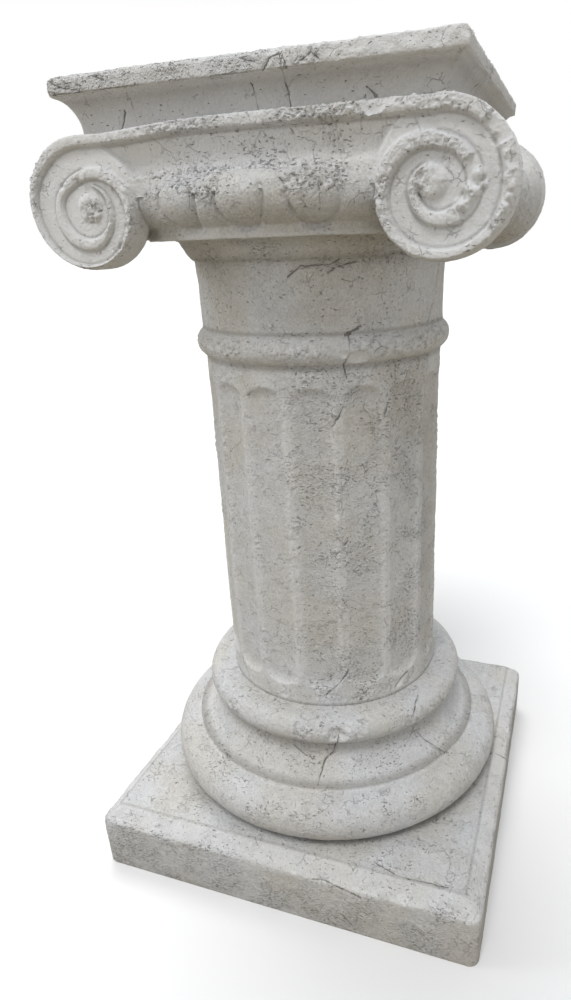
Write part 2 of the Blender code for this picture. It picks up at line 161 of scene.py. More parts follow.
class ColumnTints(bpy.types.PropertyGroup):
    """Colours of the stone and of the stage, as sRGB hex values."""

    stone: tint("Stone", "The cast stone's own colour", "CDCECF")
    warm: tint("Warm patches", "Where the stone has yellowed", "C9C7C2")
    # This colour also paints shade in grooves, coves, the angles between members and round the base
    grime_and_painted_shade: tint("Grime", "Dirt lodged in pits and cracks", "5B5346")
    # This colour also paints light on lit arrises, rims, the fillet's lip and the capital
    fresh_and_painted_light: tint("Fresh break", "Stone laid bare by a chip", "E4E5E6")
    floor: tint("Floor", "The pale floor round the column", "EAEAEA")
    far_floor: tint("Far floor", "The pale floor farther off, where the lamps are weaker", "F9F9F9")
    room_walls: tint("Room walls", "The bright band all round the studio", "FFFFFF")
    room_ceiling: tint("Room ceiling", "The dimmer light from overhead", "ADAFB1")
    room_ground: tint("Room ground", "The warm light that comes up from below", "958B77")


def linear(text):
    """The linear colour of an sRGB hex value."""
    values = [int(text[i:i + 2], 16) / 255 for i in (0, 2, 4)]
    return [v / 12.92 if v <= 0.04045 else ((v + 0.055) / 1.055) ** 2.4 for v in values] + [1.0]


# ---------------------------------------------------------------- levels and outlines


# How far the echinus stands over its fillet and a scroll's eye over the echinus' middle, and how far the
# canalis laps over the echinus and the abacus' cove over the scrolls
ECHINUS_RISE = 0.0010
EYE_RISE = 0.0015
CANALIS_LAP = 0.0062
COVE_LAP = 0.0024


def measures(scene):
    """The column's sizes, its wear, and the heights of its members."""
    return scene.column_sizes, scene.column_wear, Levels(scene.column_sizes)


class Levels:
    """Heights of the members, each one standing on the one below."""

    def __init__(self, s):
        self.chamfer = s.plinth_height - s.chamfer_height
        self.lower_torus = s.plinth_height + s.lower_torus_tube
        self.scotia_foot = self.lower_torus + s.lower_torus_tube + s.scotia_fillet
        self.scotia_head = self.scotia_foot + s.scotia_height
        self.upper_torus = self.scotia_head + s.scotia_lip + s.upper_torus_tube
        self.shaft_foot = self.upper_torus + s.upper_torus_tube
        self.shaft_head = self.shaft_foot + s.shaft_height
        self.astragal = self.shaft_head + s.astragal_tube
        self.neck_top = self.astragal + s.astragal_tube + s.neck_height
        self.flute_foot = self.shaft_foot + s.flute_foot
        self.flute_head = self.shaft_head - s.flute_head
        self.fillet_foot = self.neck_top + s.flare_height
        self.fillet_head = self.fillet_foot + s.fillet_height
        self.echinus = self.fillet_head + s.echinus_half + ECHINUS_RISE
        self.echinus_top = self.echinus + s.echinus_half
        self.scroll = self.echinus + EYE_RISE
        self.scroll_top = self.scroll + SCROLL_RADII[0]
        self.canalis_foot = self.echinus_top - CANALIS_LAP
        self.cove_foot = self.scroll_top - COVE_LAP
        self.fascia = self.cove_foot + s.cove_height
        self.top = self.fascia + s.fascia_height
        self.face = s.abacus_half + s.face_proud


# Outer radius of the scroll at each quarter turn, from its top outwards and in to the eye
SCROLL_RADII = (0.0495, 0.0526, 0.0478, 0.0411, 0.0300, 0.0288, 0.0262, 0.0192, 0.0140)

# The raised band of each scroll at every eighth of a turn, from its top outwards and in to the eye:
# radius of its outer edge and of its inner edge in millimetres, and how worn it is there
LEFT_BAND = (
    (49.5, 40.5, 0.7), (51.5, 42.0, 0.8), (52.6, 45.0, 0.5), (51.0, 45.5, 0.5), (47.8, 43.0, 0.6),
    (45.0, 38.0, 0.8), (41.1, 31.0, 1.0), (33.5, 22.0, 0.7), (26.3, 15.5, 1.0), (24.5, 15.0, 1.0),
    (28.7, 20.6, 0.6), (33.5, 23.3, 0.3), (34.0, 24.4, 0.25), (27.7, 22.0, 0.4), (21.0, 17.0, 0.7),
    (17.0, 14.0, 0.7), (14.0, 12.0, 0.8),
)
RIGHT_BAND = (
    (49.5, 38.3, 0.8), (51.5, 41.0, 1.0), (52.6, 41.5, 1.0), (51.0, 42.0, 0.9), (47.8, 38.5, 0.4),
    (45.0, 35.7, 0.35), (41.1, 29.5, 0.8), (35.3, 23.2, 0.5), (29.3, 18.5, 0.6), (28.8, 19.0, 0.7),
    (30.2, 19.5, 1.0), (30.2, 18.0, 0.8), (26.3, 16.2, 0.4), (21.5, 13.2, 0.5), (18.3, 11.0, 0.6),
    (14.5, 9.0, 0.6), (12.0, 7.0, 0.6),
)

# Where the right scroll's band is broken: from and to which turn in degrees, and the share that is left
BROKEN_BAND = ((418, 500, 0.35), (42, 64, 0.30), (64, 132, 0.80))

# How far the left and the right eye have slipped outwards and upwards
EYE_SLIPS = ((-0.0025, -0.0035), (-0.0026, 0.0010))

# Lumps left where the scrolls have crumbled: place across and up, radius and height, in millimetres
FRONT_LUMPS = (
    ((160, 654), 4.2, 4.6), ((153, 646), 3.8, 4.0), ((158, 644), 4.0, 4.6), ((148, 637), 4.2, 3.8),
    ((152, 636), 3.4, 3.4), ((155, 640), 3.2, 3.2), ((163, 648), 3.0, 2.4),
    ((178, 663), 3.6, 2.6), ((179, 657), 4.0, 3.0), ((177, 651), 3.6, 2.6), ((180, 646), 3.4, 2.4),
    ((168, 626), 3.4, 1.2), ((176, 634), 3.8, 1.6), ((173, 629), 3.0, 1.2), ((179, 640), 3.0, 1.4),
    ((169, 672), 3.4, -1.6), ((166, 690), 4.0, -2.4), ((172, 686), 3.4, -1.6), ((139, 662), 5.0, -0.7),
    ((122, 655), 4.0, -1.2), ((123, 645), 3.0, -1.4), ((136, 653), 4.0, 0.8), ((127, 649), 3.4, -1.0),
    ((-131, 652), 4.0, 0.8), ((-126, 645), 3.0, -1.0), ((-136, 645), 3.4, -1.0), ((-124, 651), 3.0, 0.7),
    ((-98, 637), 3.6, 1.2), ((-95, 658), 3.6, 1.4), ((-90, 651), 3.4, 1.0), ((-107, 619), 3.4, -1.2),
    ((-152, 664), 3.0, -1.2), ((-137, 667), 3.0, -1.0),
)


def smooth(t):
    """0 to 1 with soft ends, for t from 0 to 1 and beyond."""
    t = np.clip(t, 0.0, 1.0)
    return t * t * (3.0 - 2.0 * t)


def arc(radius, centre, start, end, tall=None):
    """Points of an outline on an arc, angles in degrees from straight out."""
    a = np.radians(np.linspace(start, end, 25))
    return [(centre[0] + radius * math.cos(t), centre[1] + (tall or radius) * math.sin(t)) for t in a]


def evenly(points, step):
    """The same outline with its points a step apart."""
    points = np.array(points, float)
    run = np.concatenate([[0.0], np.cumsum(np.linalg.norm(np.diff(points, axis=0), axis=1))])
    at = np.linspace(0.0, run[-1], max(2, round(run[-1] / step) + 1))
    return np.stack([np.interp(at, run, points[:, k]) for k in range(points.shape[1])], axis=1)


def base_outline(s, z):
    """Radius and height up the base: lower torus, fillet, hollow moulding, upper torus."""
    outline = [(s.lower_torus_radius - 0.040, s.plinth_height - 0.004)]
    outline += arc(s.lower_torus_tube, (s.lower_torus_radius, z.lower_torus), -84, 82)
    outline += [(s.scotia_foot + 0.0004, z.lower_torus + s.lower_torus_tube + 0.0004),
                (s.scotia_foot, z.scotia_foot - 0.0004)]
    for t in np.radians(np.linspace(88, 0, 20)):
        outline.append((s.scotia_foot - (s.scotia_foot - s.scotia_head) * math.cos(t),
                        z.scotia_head - s.scotia_height * math.sin(t)))
    outline += arc(s.upper_torus_tube, (s.upper_torus_radius, z.upper_torus), -84, 86)
    outline += [(s.shaft_foot - 0.004, z.shaft_foot + 0.0004), (0.02, z.shaft_foot)]
    return outline


def shaft_outline(s, z):
    """Radius and height up the shaft, without its flutes."""
    return [(s.shaft_foot - 0.001, z.shaft_foot - 0.0035), (s.shaft_foot, z.shaft_foot + 0.001),
            (s.shaft_head, z.shaft_head + 0.004)]


def neck_outline(s, z):
    """Radius and height up the astragal, the neck and the flared band."""
    outline = [(s.shaft_head - 0.012, z.shaft_head - 0.0005)]
    outline += arc(s.astragal_tube, (s.astragal_radius, z.astragal), -64, 56)
    outline += [(s.neck_radius, z.astragal + s.astragal_tube + 0.0005), (s.neck_radius, z.neck_top - 0.020),
                (s.neck_radius + 0.0016, z.neck_top - 0.0005), (s.flare_foot, z.neck_top + 0.0012),
                (s.flare_head, z.fillet_foot - 0.0008), (s.flare_head + 0.004, z.fillet_foot + 0.0006),
                (s.fillet_radius - 0.004, z.fillet_foot + 0.0012)]
    return outline


def echinus_outline(s, z):
    """Radius and height up the fillet and the echinus, without its eggs."""
    outline = [(s.flare_head - 0.010, z.fillet_foot + 0.0010), (s.fillet_radius - 0.0010, z.fillet_foot),
               (s.fillet_radius, z.fillet_foot + 0.0012), (s.fillet_radius, z.fillet_head - 0.0008)]
    outline += arc(s.echinus_bulge, (s.echinus_radius, z.echinus), -64, 84, s.echinus_half)
    outline += [(s.echinus_radius - 0.030, z.echinus_top + 0.0005)]
    return outline


def column_radius(s, z, height):
    """Outermost radius of the turned members at a height, for placing marks on them."""
    outline = np.array(base_outline(s, z)[1:-2] + shaft_outline(s, z)[1:2]
                       + [(s.shaft_head, z.shaft_head - 0.001)] + neck_outline(s, z)[1:])
    order = np.argsort(outline[:, 1], kind="stable")
    return np.interp(height, outline[order, 1], outline[order, 0])


# ---------------------------------------------------------------- noise

_gradients = np.random.default_rng(5).normal(size=(256, 3))
_gradients /= np.linalg.norm(_gradients, axis=1)[:, None]


def swell(points, spacing, seed):
    """Smooth noise, about -0.7 to 0.7, whose lumps stand about a spacing apart; each seed is a pattern."""
    q = points / spacing
    cell = np.floor(q).astype(np.int64)
    part = q - cell
    ease = part ** 3 * (part * (part * 6 - 15) + 10)
    total = np.zeros(len(points))
    for corner in product((0, 1), repeat=3):
        c = cell + corner
        key = (c[:, 0] * 73856093) ^ (c[:, 1] * 19349663) ^ (c[:, 2] * 83492791) ^ (seed * 2654435761)
        key = (key ^ (key >> 15)) * 1274126177
        toward = _gradients[(key ^ (key >> 13)) & 255]
        weight = np.prod(np.where(corner, ease, 1 - ease), axis=1)
        total += weight * np.einsum("ij,ij->i", toward, part - corner)
    return total


_turn = np.array(Matrix.Rotation(0.7, 3, Vector((1, 2, 3)).normalized()))


def rough_noise(points, spacing, octaves, seed):
    """Noise of several sizes at once, about -1 to 1."""
    total, size, q = np.zeros(len(points)), 1.0, points
    for k in range(octaves):
        total += size * swell(q, spacing, seed + 17 * k)
        q = q @ _turn.T
        spacing /= 2.03
        size *= 0.5
    return total * 1.4


# ---------------------------------------------------------------- meshes


def lay_grid(rows, columns):
    """Faces over rows of points, each row closed on itself."""
    index = np.arange(rows * columns).reshape(rows, columns)
    index = np.concatenate([index, index[:, :1]], axis=1)
    a, b, c, d = index[:-1, :-1], index[:-1, 1:], index[1:, 1:], index[1:, :-1]
    return np.stack([a, b, c, d], axis=-1).reshape(-1, 4)


def fan(ring, centre):
    """Triangles from a ring of point numbers to one centre point."""
    return np.stack([ring, np.roll(ring, -1), np.full_like(ring, centre)], axis=1).tolist()


def make_piece(name, points, quads, others=()):
    """A mesh object from points, four-sided faces and a few others."""
    mesh = bpy.data.meshes.new(name)
    loops = [quads.reshape(-1)] + [np.array(f) for f in others]
    totals = np.concatenate([np.full(len(quads), 4), np.array([len(f) for f in others], int)])
    loops = np.concatenate(loops).astype(np.int32)
    starts = np.concatenate([[0], np.cumsum(totals)[:-1]]).astype(np.int32)
    mesh.vertices.add(len(points))
    mesh.vertices.foreach_set("co", np.asarray(points, np.float32).reshape(-1))
    mesh.loops.add(len(loops))
    mesh.loops.foreach_set("vertex_index", loops)
    mesh.polygons.add(len(totals))
    mesh.polygons.foreach_set("loop_start", starts)
    mesh.polygons.foreach_set("loop_total", totals.astype(np.int32))
    mesh.update(calc_edges=True)
    mesh.validate()
    piece = bpy.data.objects.new(name, mesh)
    bpy.context.scene.collection.objects.link(piece)
    return piece


def places(piece, what="co"):
    """A piece's points, or its normals, as rows of three."""
    flat = np.zeros(len(piece.data.vertices) * 3)
    piece.data.vertices.foreach_get(what, flat)
    return flat.reshape(-1, 3)


def turned_angles(radius, wear, fine=1.0):
    """Angles round the column, closer together on the side that shows."""
    low, high = SHOWN_SIDE - SHOWN_HALF, SHOWN_SIDE + SHOWN_HALF
    near = max(8, round(math.radians(high - low) * radius / (wear.grain * fine)))
    far = max(8, round(math.radians(360 - high + low) * radius / wear.coarse))
    return np.radians(np.concatenate([np.linspace(low, high, near, endpoint=False),
                                      np.linspace(high, low + 360, far, endpoint=False)]))


def turned_points(outline, angles):
    """Rows of points: one row for each point of the outline, from its foot up."""
    r, z = outline[:, 0][:, None], outline[:, 1][:, None]
    return np.stack([r * np.cos(angles), r * np.sin(angles), z + 0 * angles], axis=-1)


def closed_turned(name, points):
    """A turned grid with a point on the axis at each end."""
    rows, columns = points.shape[:2]
    centres = [points[0].mean(axis=0), points[-1].mean(axis=0)]
    ring = np.arange(columns)
    ends = [face[1::-1] + face[2:] for face in fan(ring, rows * columns)]
    ends += fan((rows - 1) * columns + ring, rows * columns + 1)
    return make_piece(name, np.concatenate([points.reshape(-1, 3), centres]), lay_grid(rows, columns), ends)


def plan_square(corner, fine, rough):
    """Directions round a square of half width 1, with more steps on the two sides that show."""
    def run(count, start, end):
        return np.linspace(start, end, count, endpoint=False)[:, None]

    flat = 1.0 - corner
    sides = [((-flat, -1), (flat, -1), fine), ((1, -flat), (1, flat), fine),
             ((flat, 1), (-flat, 1), rough), ((-1, flat), (-1, -flat), rough)]
    points = []
    for number, (start, end, count) in enumerate(sides):
        start, end = np.array(start), np.array(end)
        points.append(start + (end - start) * run(count, 0, 1))
        turn = math.radians(-90 + 90 * number)
        centre = flat * np.array([math.cos(turn) - math.sin(turn), math.sin(turn) + math.cos(turn)])
        a = turn + np.radians(90) * run(8, 0, 1)[:, 0]
        points.append(centre + corner * np.stack([np.cos(a), np.sin(a)], axis=1))
    points = np.concatenate(points)
    return points / np.abs(points).max(axis=1)[:, None]


def square_piece(name, outline, corner, wear):
    """A closed form with square plan from an outline of (half width, height) rows."""
    widest = outline[:, 0].max()
    direction = plan_square(0.03, max(8, round(2 * widest / (wear.grain * 1.08))),
                            max(8, round(2 * widest / wear.coarse)))
    rows = []
    for half, height in outline:
        radius = min(corner, half * 0.5)
        flat = half - radius
        xy = direction * half
        over = np.maximum(np.abs(xy) - flat, 0)
        bend = np.maximum(np.linalg.norm(over, axis=1), 1e-9)[:, None]
        pulled = np.sign(xy) * (np.minimum(np.abs(xy), flat) + over * radius / bend)
        xy = np.where((over > 0).all(axis=1)[:, None], pulled, xy)
        rows.append(np.concatenate([xy, np.full((len(xy), 1), height)], axis=1))
    return closed_turned(name, np.stack(rows))


# ---------------------------------------------------------------- marks of age


# The spacing of the points along a crack, and about how far from the axis it runs, both in millimetres
PATH_STEP = 0.6
PATH_RADIUS = 120


def around(path, s, z):
    """Points on the turned members, from pairs of an angle in degrees and a height in millimetres."""
    path = evenly([(math.radians(a) * PATH_RADIUS, h) for a, h in path], PATH_STEP)
    angle, height = path[:, 0] / PATH_RADIUS, path[:, 1] * MM
    r = column_radius(s, z, height)
    return np.stack([r * np.cos(angle), r * np.sin(angle), height], axis=1)


def straight(path):
    """Points along a path of millimetre corners."""
    return evenly(path, PATH_STEP) * MM


def cracks(s, z):
    """The cracks of the casting, as (points, width in millimetres)."""
    turned = [
        (((-83, 594), (-78, 601), (-67, 601), (-63, 604)), 0.9),
        (((-67, 596), (-63, 600), (-57, 602)), 0.8),
        (((-7, 600), (-7, 593), (-9, 574), (-15, 557), (-17, 549)), 0.9),
        (((-61, 549), (-55, 554)), 1.4),
        (((-60, 549), (-60, 535), (-62, 525), (-61, 515)), 0.8),
        (((-62, 491), (-65, 482), (-69, 472), (-72, 468)), 1.2),
        (((-41, 489), (-43, 481)), 0.9),
        (((-59, 374), (-63, 366)), 1.2),
        (((-81, 366), (-85, 362)), 1.2),
        (((-61, 235), (-64, 227), (-72, 210), (-75, 203)), 1.1),
        (((-37, 198), (-33, 205), (-29, 208)), 1.1),
        (((-130, 213), (-127, 203), (-124, 197)), 0.9),
        (((-30, 189), (-34, 187), (-38, 177)), 1.0),
        (((-70, 171), (-71, 158), (-72, 149), (-76, 141), (-78, 128)), 1.2),
        (((-90, 151), (-86, 145), (-80, 141)), 0.8),
        (((-30, 140), (-27, 131), (-24, 123)), 0.8),
    ]
    front = -s.abacus_half * 1000
    flat = [
        (((31, front, 730), (32, front, 720), (31, front + 12, 711), (32, front + 14, 700)), 0.8),
        (((7, front + 9, 715), (9, front + 14, 699)), 0.7),
        (((20, front, 721), (24, front, 727), (32, front, 730), (36, front, 720)), 0.8),
        (((5, front, 729), (13, front, 726)), 0.7),
        (((-146, front, 729), (-138, front, 725), (-123, front, 722)), 0.7),
        (((-109, front, 730), (-102, front, 727)), 1.0),
        (((-101, front + 14, 698), (-96, front + 13, 708)), 1.0),
        (((46, front, 724), (52, front, 728), (57, front, 724)), 0.7),
        (((86, front + 13, 707), (91, front + 14, 702)), 1.0),
        (((-front - 12, -61, 711), (-front, -43, 721)), 1.0),
        (((29, -152, 691), (35, -146, 687), (38, -145, 680), (42, -146, 671), (45, -150, 665)), 1.0),
        (((31, -160, 658), (44, -165, 651), (49, -161, 656)), 1.1),
        (((42, -200, 57), (56, -199, 59), (73, -200, 54), (88, -200, 50)), 1.2),
        (((99, -176, 72), (122, -183, 71), (145, -182, 71), (166, -181, 72)), 1.1),
        (((181, 6, 72), (190, 13, 67), (200, 19, 58)), 1.0),
        (((70, -200, 19), (79, -200, 9)), 1.1),
    ]
    return [(around(path, s, z), width) for path, width in turned] + [
        (straight(path), width) for path, width in flat]


def bites(s, z):
    """Chips and bruises, as (place, way out, radius, depth), in millimetres."""
    front, top = -s.abacus_half * 1000, z.top * 1000
    level = (0.0, -1.0, 0.1)
    found = [((x, front, top - down), out, radius, depth) for x, down, out, radius, depth in (
        (24, 1, (0.1, -0.75, 0.66), 13, 3.6), (33, 6, level, 9, 2.0), (50, 3, level, 12, 1.4),
        (66, 3, level, 10, 2.2), (82, 2, level, 13, 2.4), (99, 4, level, 12, 1.8), (116, 2, level, 13, 2.6),
        (133, 3, level, 12, 2.4), (148, 2, (0.5, -0.9, 0.2), 11, 2.6), (71, 11, level, 6, 1.4),
        (-8, 2, level, 12, 1.0), (-140, 2, (-0.2, -0.9, 0.3), 10, 1.2),
        (-148, 13, (-0.4, -0.7, -0.5), 9, 1.6))]
    found += [
        ((90, -152, 693), (0.2, -0.7, 0.6), 9, 3.2), ((97, -152, 698), (0.4, -0.5, 0.7), 8, 2.6),
        ((-88, -149, 664), (0.2, -0.9, 0.3), 10, 2.4),
        ((178, -152, 660), (0.5, -0.8, 0.1), 6, 1.6), ((184, -151, 668), (0.7, -0.6, 0.2), 6, 1.8),
    ]
    # Knocks along the plinth's arris, in front and on the right
    half, arris = s.plinth_width * 500, 60
    low, steep = (0.0, -0.8, 0.6), (0.0, -0.7, 0.7)
    found += [((x, -half, arris), out, radius, depth) for x, out, radius, depth in (
        (56, low, 16, 2.4), (20, low, 18, 1.8), (90, low, 20, 2.6), (130, steep, 20, 3.0),
        (165, steep, 18, 2.4), (-20, low, 12, 1.6), (-80, low, 14, 1.5), (-150, low, 16, 1.6),
        (-190, (-0.3, -0.7, 0.6), 12, 1.8))]
    found += [((half, y, arris), (0.8, 0.0, 0.6), radius, depth) for y, radius, depth in (
        (-150, 14, 1.8), (-95, 12, 2.0), (40, 16, 1.4))]
    # On the turned members: angle, height, radius, depth and how far its way out leans up
    turned = [
        (-70, 178, 12, 5.2, -0.25), (-67, 183, 7, 2.0, 0.3), (-56, 528, 12, 3.0, -0.3),
        (-62, 533, 6, 2.0, 0.0), (-72, 402, 14, 1.3, 0.0), (-77, 411, 10, 1.2, 0.0),
        (-68, 396, 8, 1.0, 0.0), (10, 378, 11, 3.0, 0.0), (-25, 400, 9, 1.0, 0.0),
        (-76, 205, 7, 1.6, 0.0), (-35, 201, 7, 1.4, 0.0),
    ]
    for angle, height, radius, depth, lift in turned:
        a = math.radians(angle)
        r = float(column_radius(s, z, height * MM)) * 1000
        found.append(((r * math.cos(a), r * math.sin(a), height), (math.cos(a), math.sin(a), lift),
                      radius, depth))
    return found


# How far apart the lumps of each kind of wear stand, in metres. Sand and pits are drawn coarser than they
# are, because the mesh is no finer than 1.3 mm.
PATCHES = 0.034
CHIPPED_OFF = 0.016
CRUMBS = 0.0058
SAND_GRAINS = 0.0042
PITS = 0.0034
SCORES = 0.0030
SCORED_FIELDS = 0.045

# Scores are drawn out aslant, as the mix was tamped
SCORE_LEAN = np.array([[1.0, 0.0, 0.35], [0.0, 1.0, 0.0], [-0.9, 0.0, 0.5]])

# The most that is lost from an arris, how far a crack strays from its path, how far off its line fades
# away, and how far round its path the skin is looked at
ARRIS_LOSS = 0.0022
CRACK_STRAY = 0.0009
CRACK_REACH = 0.0022
CRACK_BOX = 0.006


# How dark the dirt is in crumbled skin, in pits, in scores and in cracks, and how much paler the capital
# is painted, as painted light
CRUMB_DIRT, PIT_DIRT, SCORE_DIRT, CRACK_DIRT = 0.55, 0.35, 0.30, 0.30
CAPITAL_PAINTED_LIGHT = 0.65


def worn_skin(points, rough, edge, wear):
    """How far the skin has moved out, how dirty and how freshly broken it is, and where it is patchy."""
    patch = smooth(rough_noise(points, PATCHES, 2, 31) * 1.2 + 0.5)
    waves = rough_noise(points, PATCHES, 2, 3)
    sand = rough_noise(points, SAND_GRAINS, 2, 7)
    move = wear.waves * (waves - 0.35) + wear.sand * sand * (0.4 + patch)

    crumbs = np.abs(rough_noise(points, CRUMBS, 4, 11))
    fray = np.clip(rough * (0.25 + 1.1 * patch), 0, 1)
    move += fray * wear.crumb * (np.clip(crumbs, 0, 0.8) * 1.9 - 0.95)
    grime_and_painted_shade = fray * smooth(1 - crumbs / 0.10) * CRUMB_DIRT
    fresh_and_painted_light = fray * smooth((crumbs - 0.18) / 0.25)

    loss = np.clip(rough_noise(points, CHIPPED_OFF, 3, 13) + 0.25, 0, 1) * ARRIS_LOSS
    move -= edge * loss
    fresh_and_painted_light = np.maximum(fresh_and_painted_light, edge * smooth(loss / 0.0009) * 0.7)

    pits = smooth((swell(points, PITS, 19) - (0.56 - 0.12 * patch * wear.pitting)) / 0.12)
    scored = smooth(rough_noise(points, SCORED_FIELDS, 2, 29) * 2.2 - 0.1)
    scores = smooth((swell(points @ SCORE_LEAN, SCORES, 23) - 0.40) / 0.14) * scored
    move -= wear.pit * (pits + 0.5 * scores)
    grime_and_painted_shade = np.maximum(grime_and_painted_shade, np.maximum(pits * PIT_DIRT, scores * SCORE_DIRT))
    return move, grime_and_painted_shade, fresh_and_painted_light, patch


def cut_cracks(points, normals, move, grime_and_painted_shade):
    """Sink the cracks, and measure how far to the side of one each point lies, and how near it is."""
    s, wear, z = measures(bpy.context.scene)
    count = len(points)
    bent = points + CRACK_STRAY * np.stack([swell(points, 0.005, k) for k in (41, 42, 43)], axis=1)
    side, by, closest = np.full(count, 5.0), np.zeros(count), np.full(count, 1.0)
    for path, width in cracks(s, z):
        low, high = path.min(axis=0) - CRACK_BOX, path.max(axis=0) + CRACK_BOX
        near = np.where(np.all((points > low) & (points < high), axis=1))[0]
        if len(near) == 0:
            continue
        away = bent[near][:, None, :] - path[None, :, :]
        gaps = np.linalg.norm(away, axis=2)
        pick = gaps.argmin(axis=1)
        every = np.arange(len(near))
        gap, away = gaps[every, pick], away[every, pick]
        along = np.gradient(path, axis=0)[pick]
        cross = np.einsum("ij,ij->i", np.cross(along, away), normals[near])
        cross /= np.maximum(np.linalg.norm(along, axis=1), 1e-9)
        first = gap < closest[near]
        chosen = near[first]
        closest[chosen] = gap[first]
        side[chosen] = np.clip(cross[first] / (width * MM), -5, 5)
        by[chosen] = np.exp(-(gap[first] / CRACK_REACH) ** 2)
        cut = np.exp(-(gap / (width * MM)) ** 2)
        move[near] -= wear.crack * cut
        grime_and_painted_shade[near] = np.maximum(grime_and_painted_shade[near], CRACK_DIRT * cut)
    return side, by


# A chip's outline strays by this share of its radius, and its floor is uneven by this much; further out
# than its own depth this many times over it cuts nothing, such as the other side of a groove
BITE_STRAY = 0.22
BITE_UNEVEN = 0.0005
BITE_REACH = 2.5


def cut_bites(moved, points, grime_and_painted_shade, fresh_and_painted_light):
    """Knock the chips out of the moved points, and lay them bare and clean."""
    s, _, z = measures(bpy.context.scene)
    for place, out, radius, depth in bites(s, z):
        place, radius, depth = np.array(place) * MM, radius * MM, depth * MM
        near = np.where(np.linalg.norm(moved - place, axis=1) < radius * 1.3)[0]
        if len(near) == 0:
            continue
        out = np.array(out) / np.linalg.norm(out)
        rel = moved[near] - place
        rise = rel @ out
        aside = np.sqrt(np.maximum((rel ** 2).sum(axis=1) - rise ** 2, 0)) / radius
        ragged = rough_noise(points[near], 0.006, 3, 51) * BITE_STRAY
        floor = -depth + (depth + 0.0012) * np.maximum(aside + ragged, 0) ** 2.2
        floor += BITE_UNEVEN * rough_noise(points[near], 0.0035, 2, 53)
        cut = np.maximum(rise - floor, 0)
        cut[cut > depth * BITE_REACH + 0.002] = 0
        moved[near] -= out * cut[:, None]
        laid = smooth(cut / 0.0006)
        fresh_and_painted_light[near] = np.maximum(fresh_and_painted_light[near] * (1 - laid), laid * 0.8)
        grime_and_painted_shade[near] *= 1 - 0.6 * laid


def weather(piece, rough=0.0, edge=0.0, pocked=0.3, lodged_and_painted_shade=0.0, rubbed_and_painted_light=0.0, still=0.0):
    """Wear the surface, and keep where it is dirty and where it is freshly broken, and where shade and light
    are painted on.

    rough says where the skin has crumbled, edge where an arris has been knocked off, pocked where it
    is full of small holes and still where it is left alone, all from 0 to 1; lodged_and_painted_shade is
    soiling that lies in a groove and painted shade in grooves, coves and the angles where members meet,
    and rubbed_and_painted_light is how pale an arris has been worn by rubbing and painted light on lit
    arrises, rims, lips, the chamfer and the capital's faces.
    """
    _, wear, z = measures(bpy.context.scene)
    points, normals = places(piece), places(piece, "normal")
    move, grime_and_painted_shade, fresh_and_painted_light, patch = worn_skin(points, rough, edge, wear)
    side, by = cut_cracks(points, normals, move, grime_and_painted_shade)
    # Painted shade in grooves, coves and the angles between members joins the soiling here
    grime_and_painted_shade = np.maximum(grime_and_painted_shade, lodged_and_painted_shade) * (1 - still)
    # Painted light: the capital from the echinus up is painted paler
    capital_painted_light = CAPITAL_PAINTED_LIGHT * smooth((points[:, 2] - z.echinus) / 0.03)
    # Worn arrises and painted light on lit arrises, rims and the capital join the chips here
    fresh_and_painted_light = np.maximum(np.maximum(fresh_and_painted_light, rubbed_and_painted_light), capital_painted_light) * (1 - still)
    moved = points + normals * (move * (1 - still))[:, None]
    cut_bites(moved, points, grime_and_painted_shade, fresh_and_painted_light)

    mesh = piece.data
    moved = np.clip(moved, *(np.array(corner) for corner in CAD_BOX))
    mesh.vertices.foreach_set("co", moved.astype(np.float32).reshape(-1))
    marks = {"grime_and_painted_shade": np.clip(grime_and_painted_shade, 0, 1), "fresh_and_painted_light": np.clip(fresh_and_painted_light, 0, 1), "crack_side": side,
             "crack_near": by, "pocked": np.clip(pocked * (0.45 + 0.9 * patch), 0, 1)}
    for name, values in marks.items():
        layer = mesh.attributes.new(name, "FLOAT", "POINT")
        layer.data.foreach_set("value", values.astype(np.float32))
    mesh.update()


def finish_piece(piece):
    """Give a piece smooth shading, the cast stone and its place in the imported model."""
    piece.data.shade_smooth()
    piece.data.materials.append(cast_stone())
    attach(piece, "root")
    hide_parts(NODE)


# ---------------------------------------------------------------- pieces


def hump(value, centre, half):
    """1 at the centre, falling to 0 at half a width from it."""
    return smooth(1 - np.abs(value - centre) / half)


def smooth_line(values, step, at):
    """A smooth line through values that stand a step apart, at places along it."""
    values = np.array(values, float)
    place = np.clip(np.asarray(at, float) / step, 0, len(values) - 1)
    k = np.minimum(place.astype(int), len(values) - 2)
    t = place - k
    before, a, b = values[np.maximum(k - 1, 0)], values[k], values[k + 1]
    after = values[np.minimum(k + 2, len(values) - 1)]
    return 0.5 * (2 * a + (b - before) * t + (2 * before - 5 * a + 4 * b - after) * t * t
                  + (3 * a - before - 3 * b + after) * t ** 3)


def from_eye(x, h, s, z):
    """Where a place on a capital face lies from its scroll's eye: outwards, upwards, away and turn."""
    out, up = np.abs(x) - s.scroll_x, h - z.scroll
    return out, up, np.hypot(out, up), np.degrees(np.arctan2(out, up)) % 360


def face_disc(x, h, s, z):
    """How far a place on a capital face lies inside a scroll's outline; x and h are across and up."""
    _, _, away, turn = from_eye(x, h, s, z)
    last = SCROLL_RADII[3] + (SCROLL_RADII[0] - SCROLL_RADII[3]) * (turn - 270) / 90
    reach = np.where(turn <= 270, smooth_line(SCROLL_RADII, 90.0, np.minimum(turn, 270)), last)
    return reach - away


def face_inside(x, h, s, z):
    """How far a place lies inside the outline of both scrolls and the canalis between them."""
    canalis = np.minimum(np.minimum(h - z.canalis_foot + 0.008, z.scroll_top - h), s.scroll_x - np.abs(x))
    return np.maximum(face_disc(x, h, s, z), canalis)


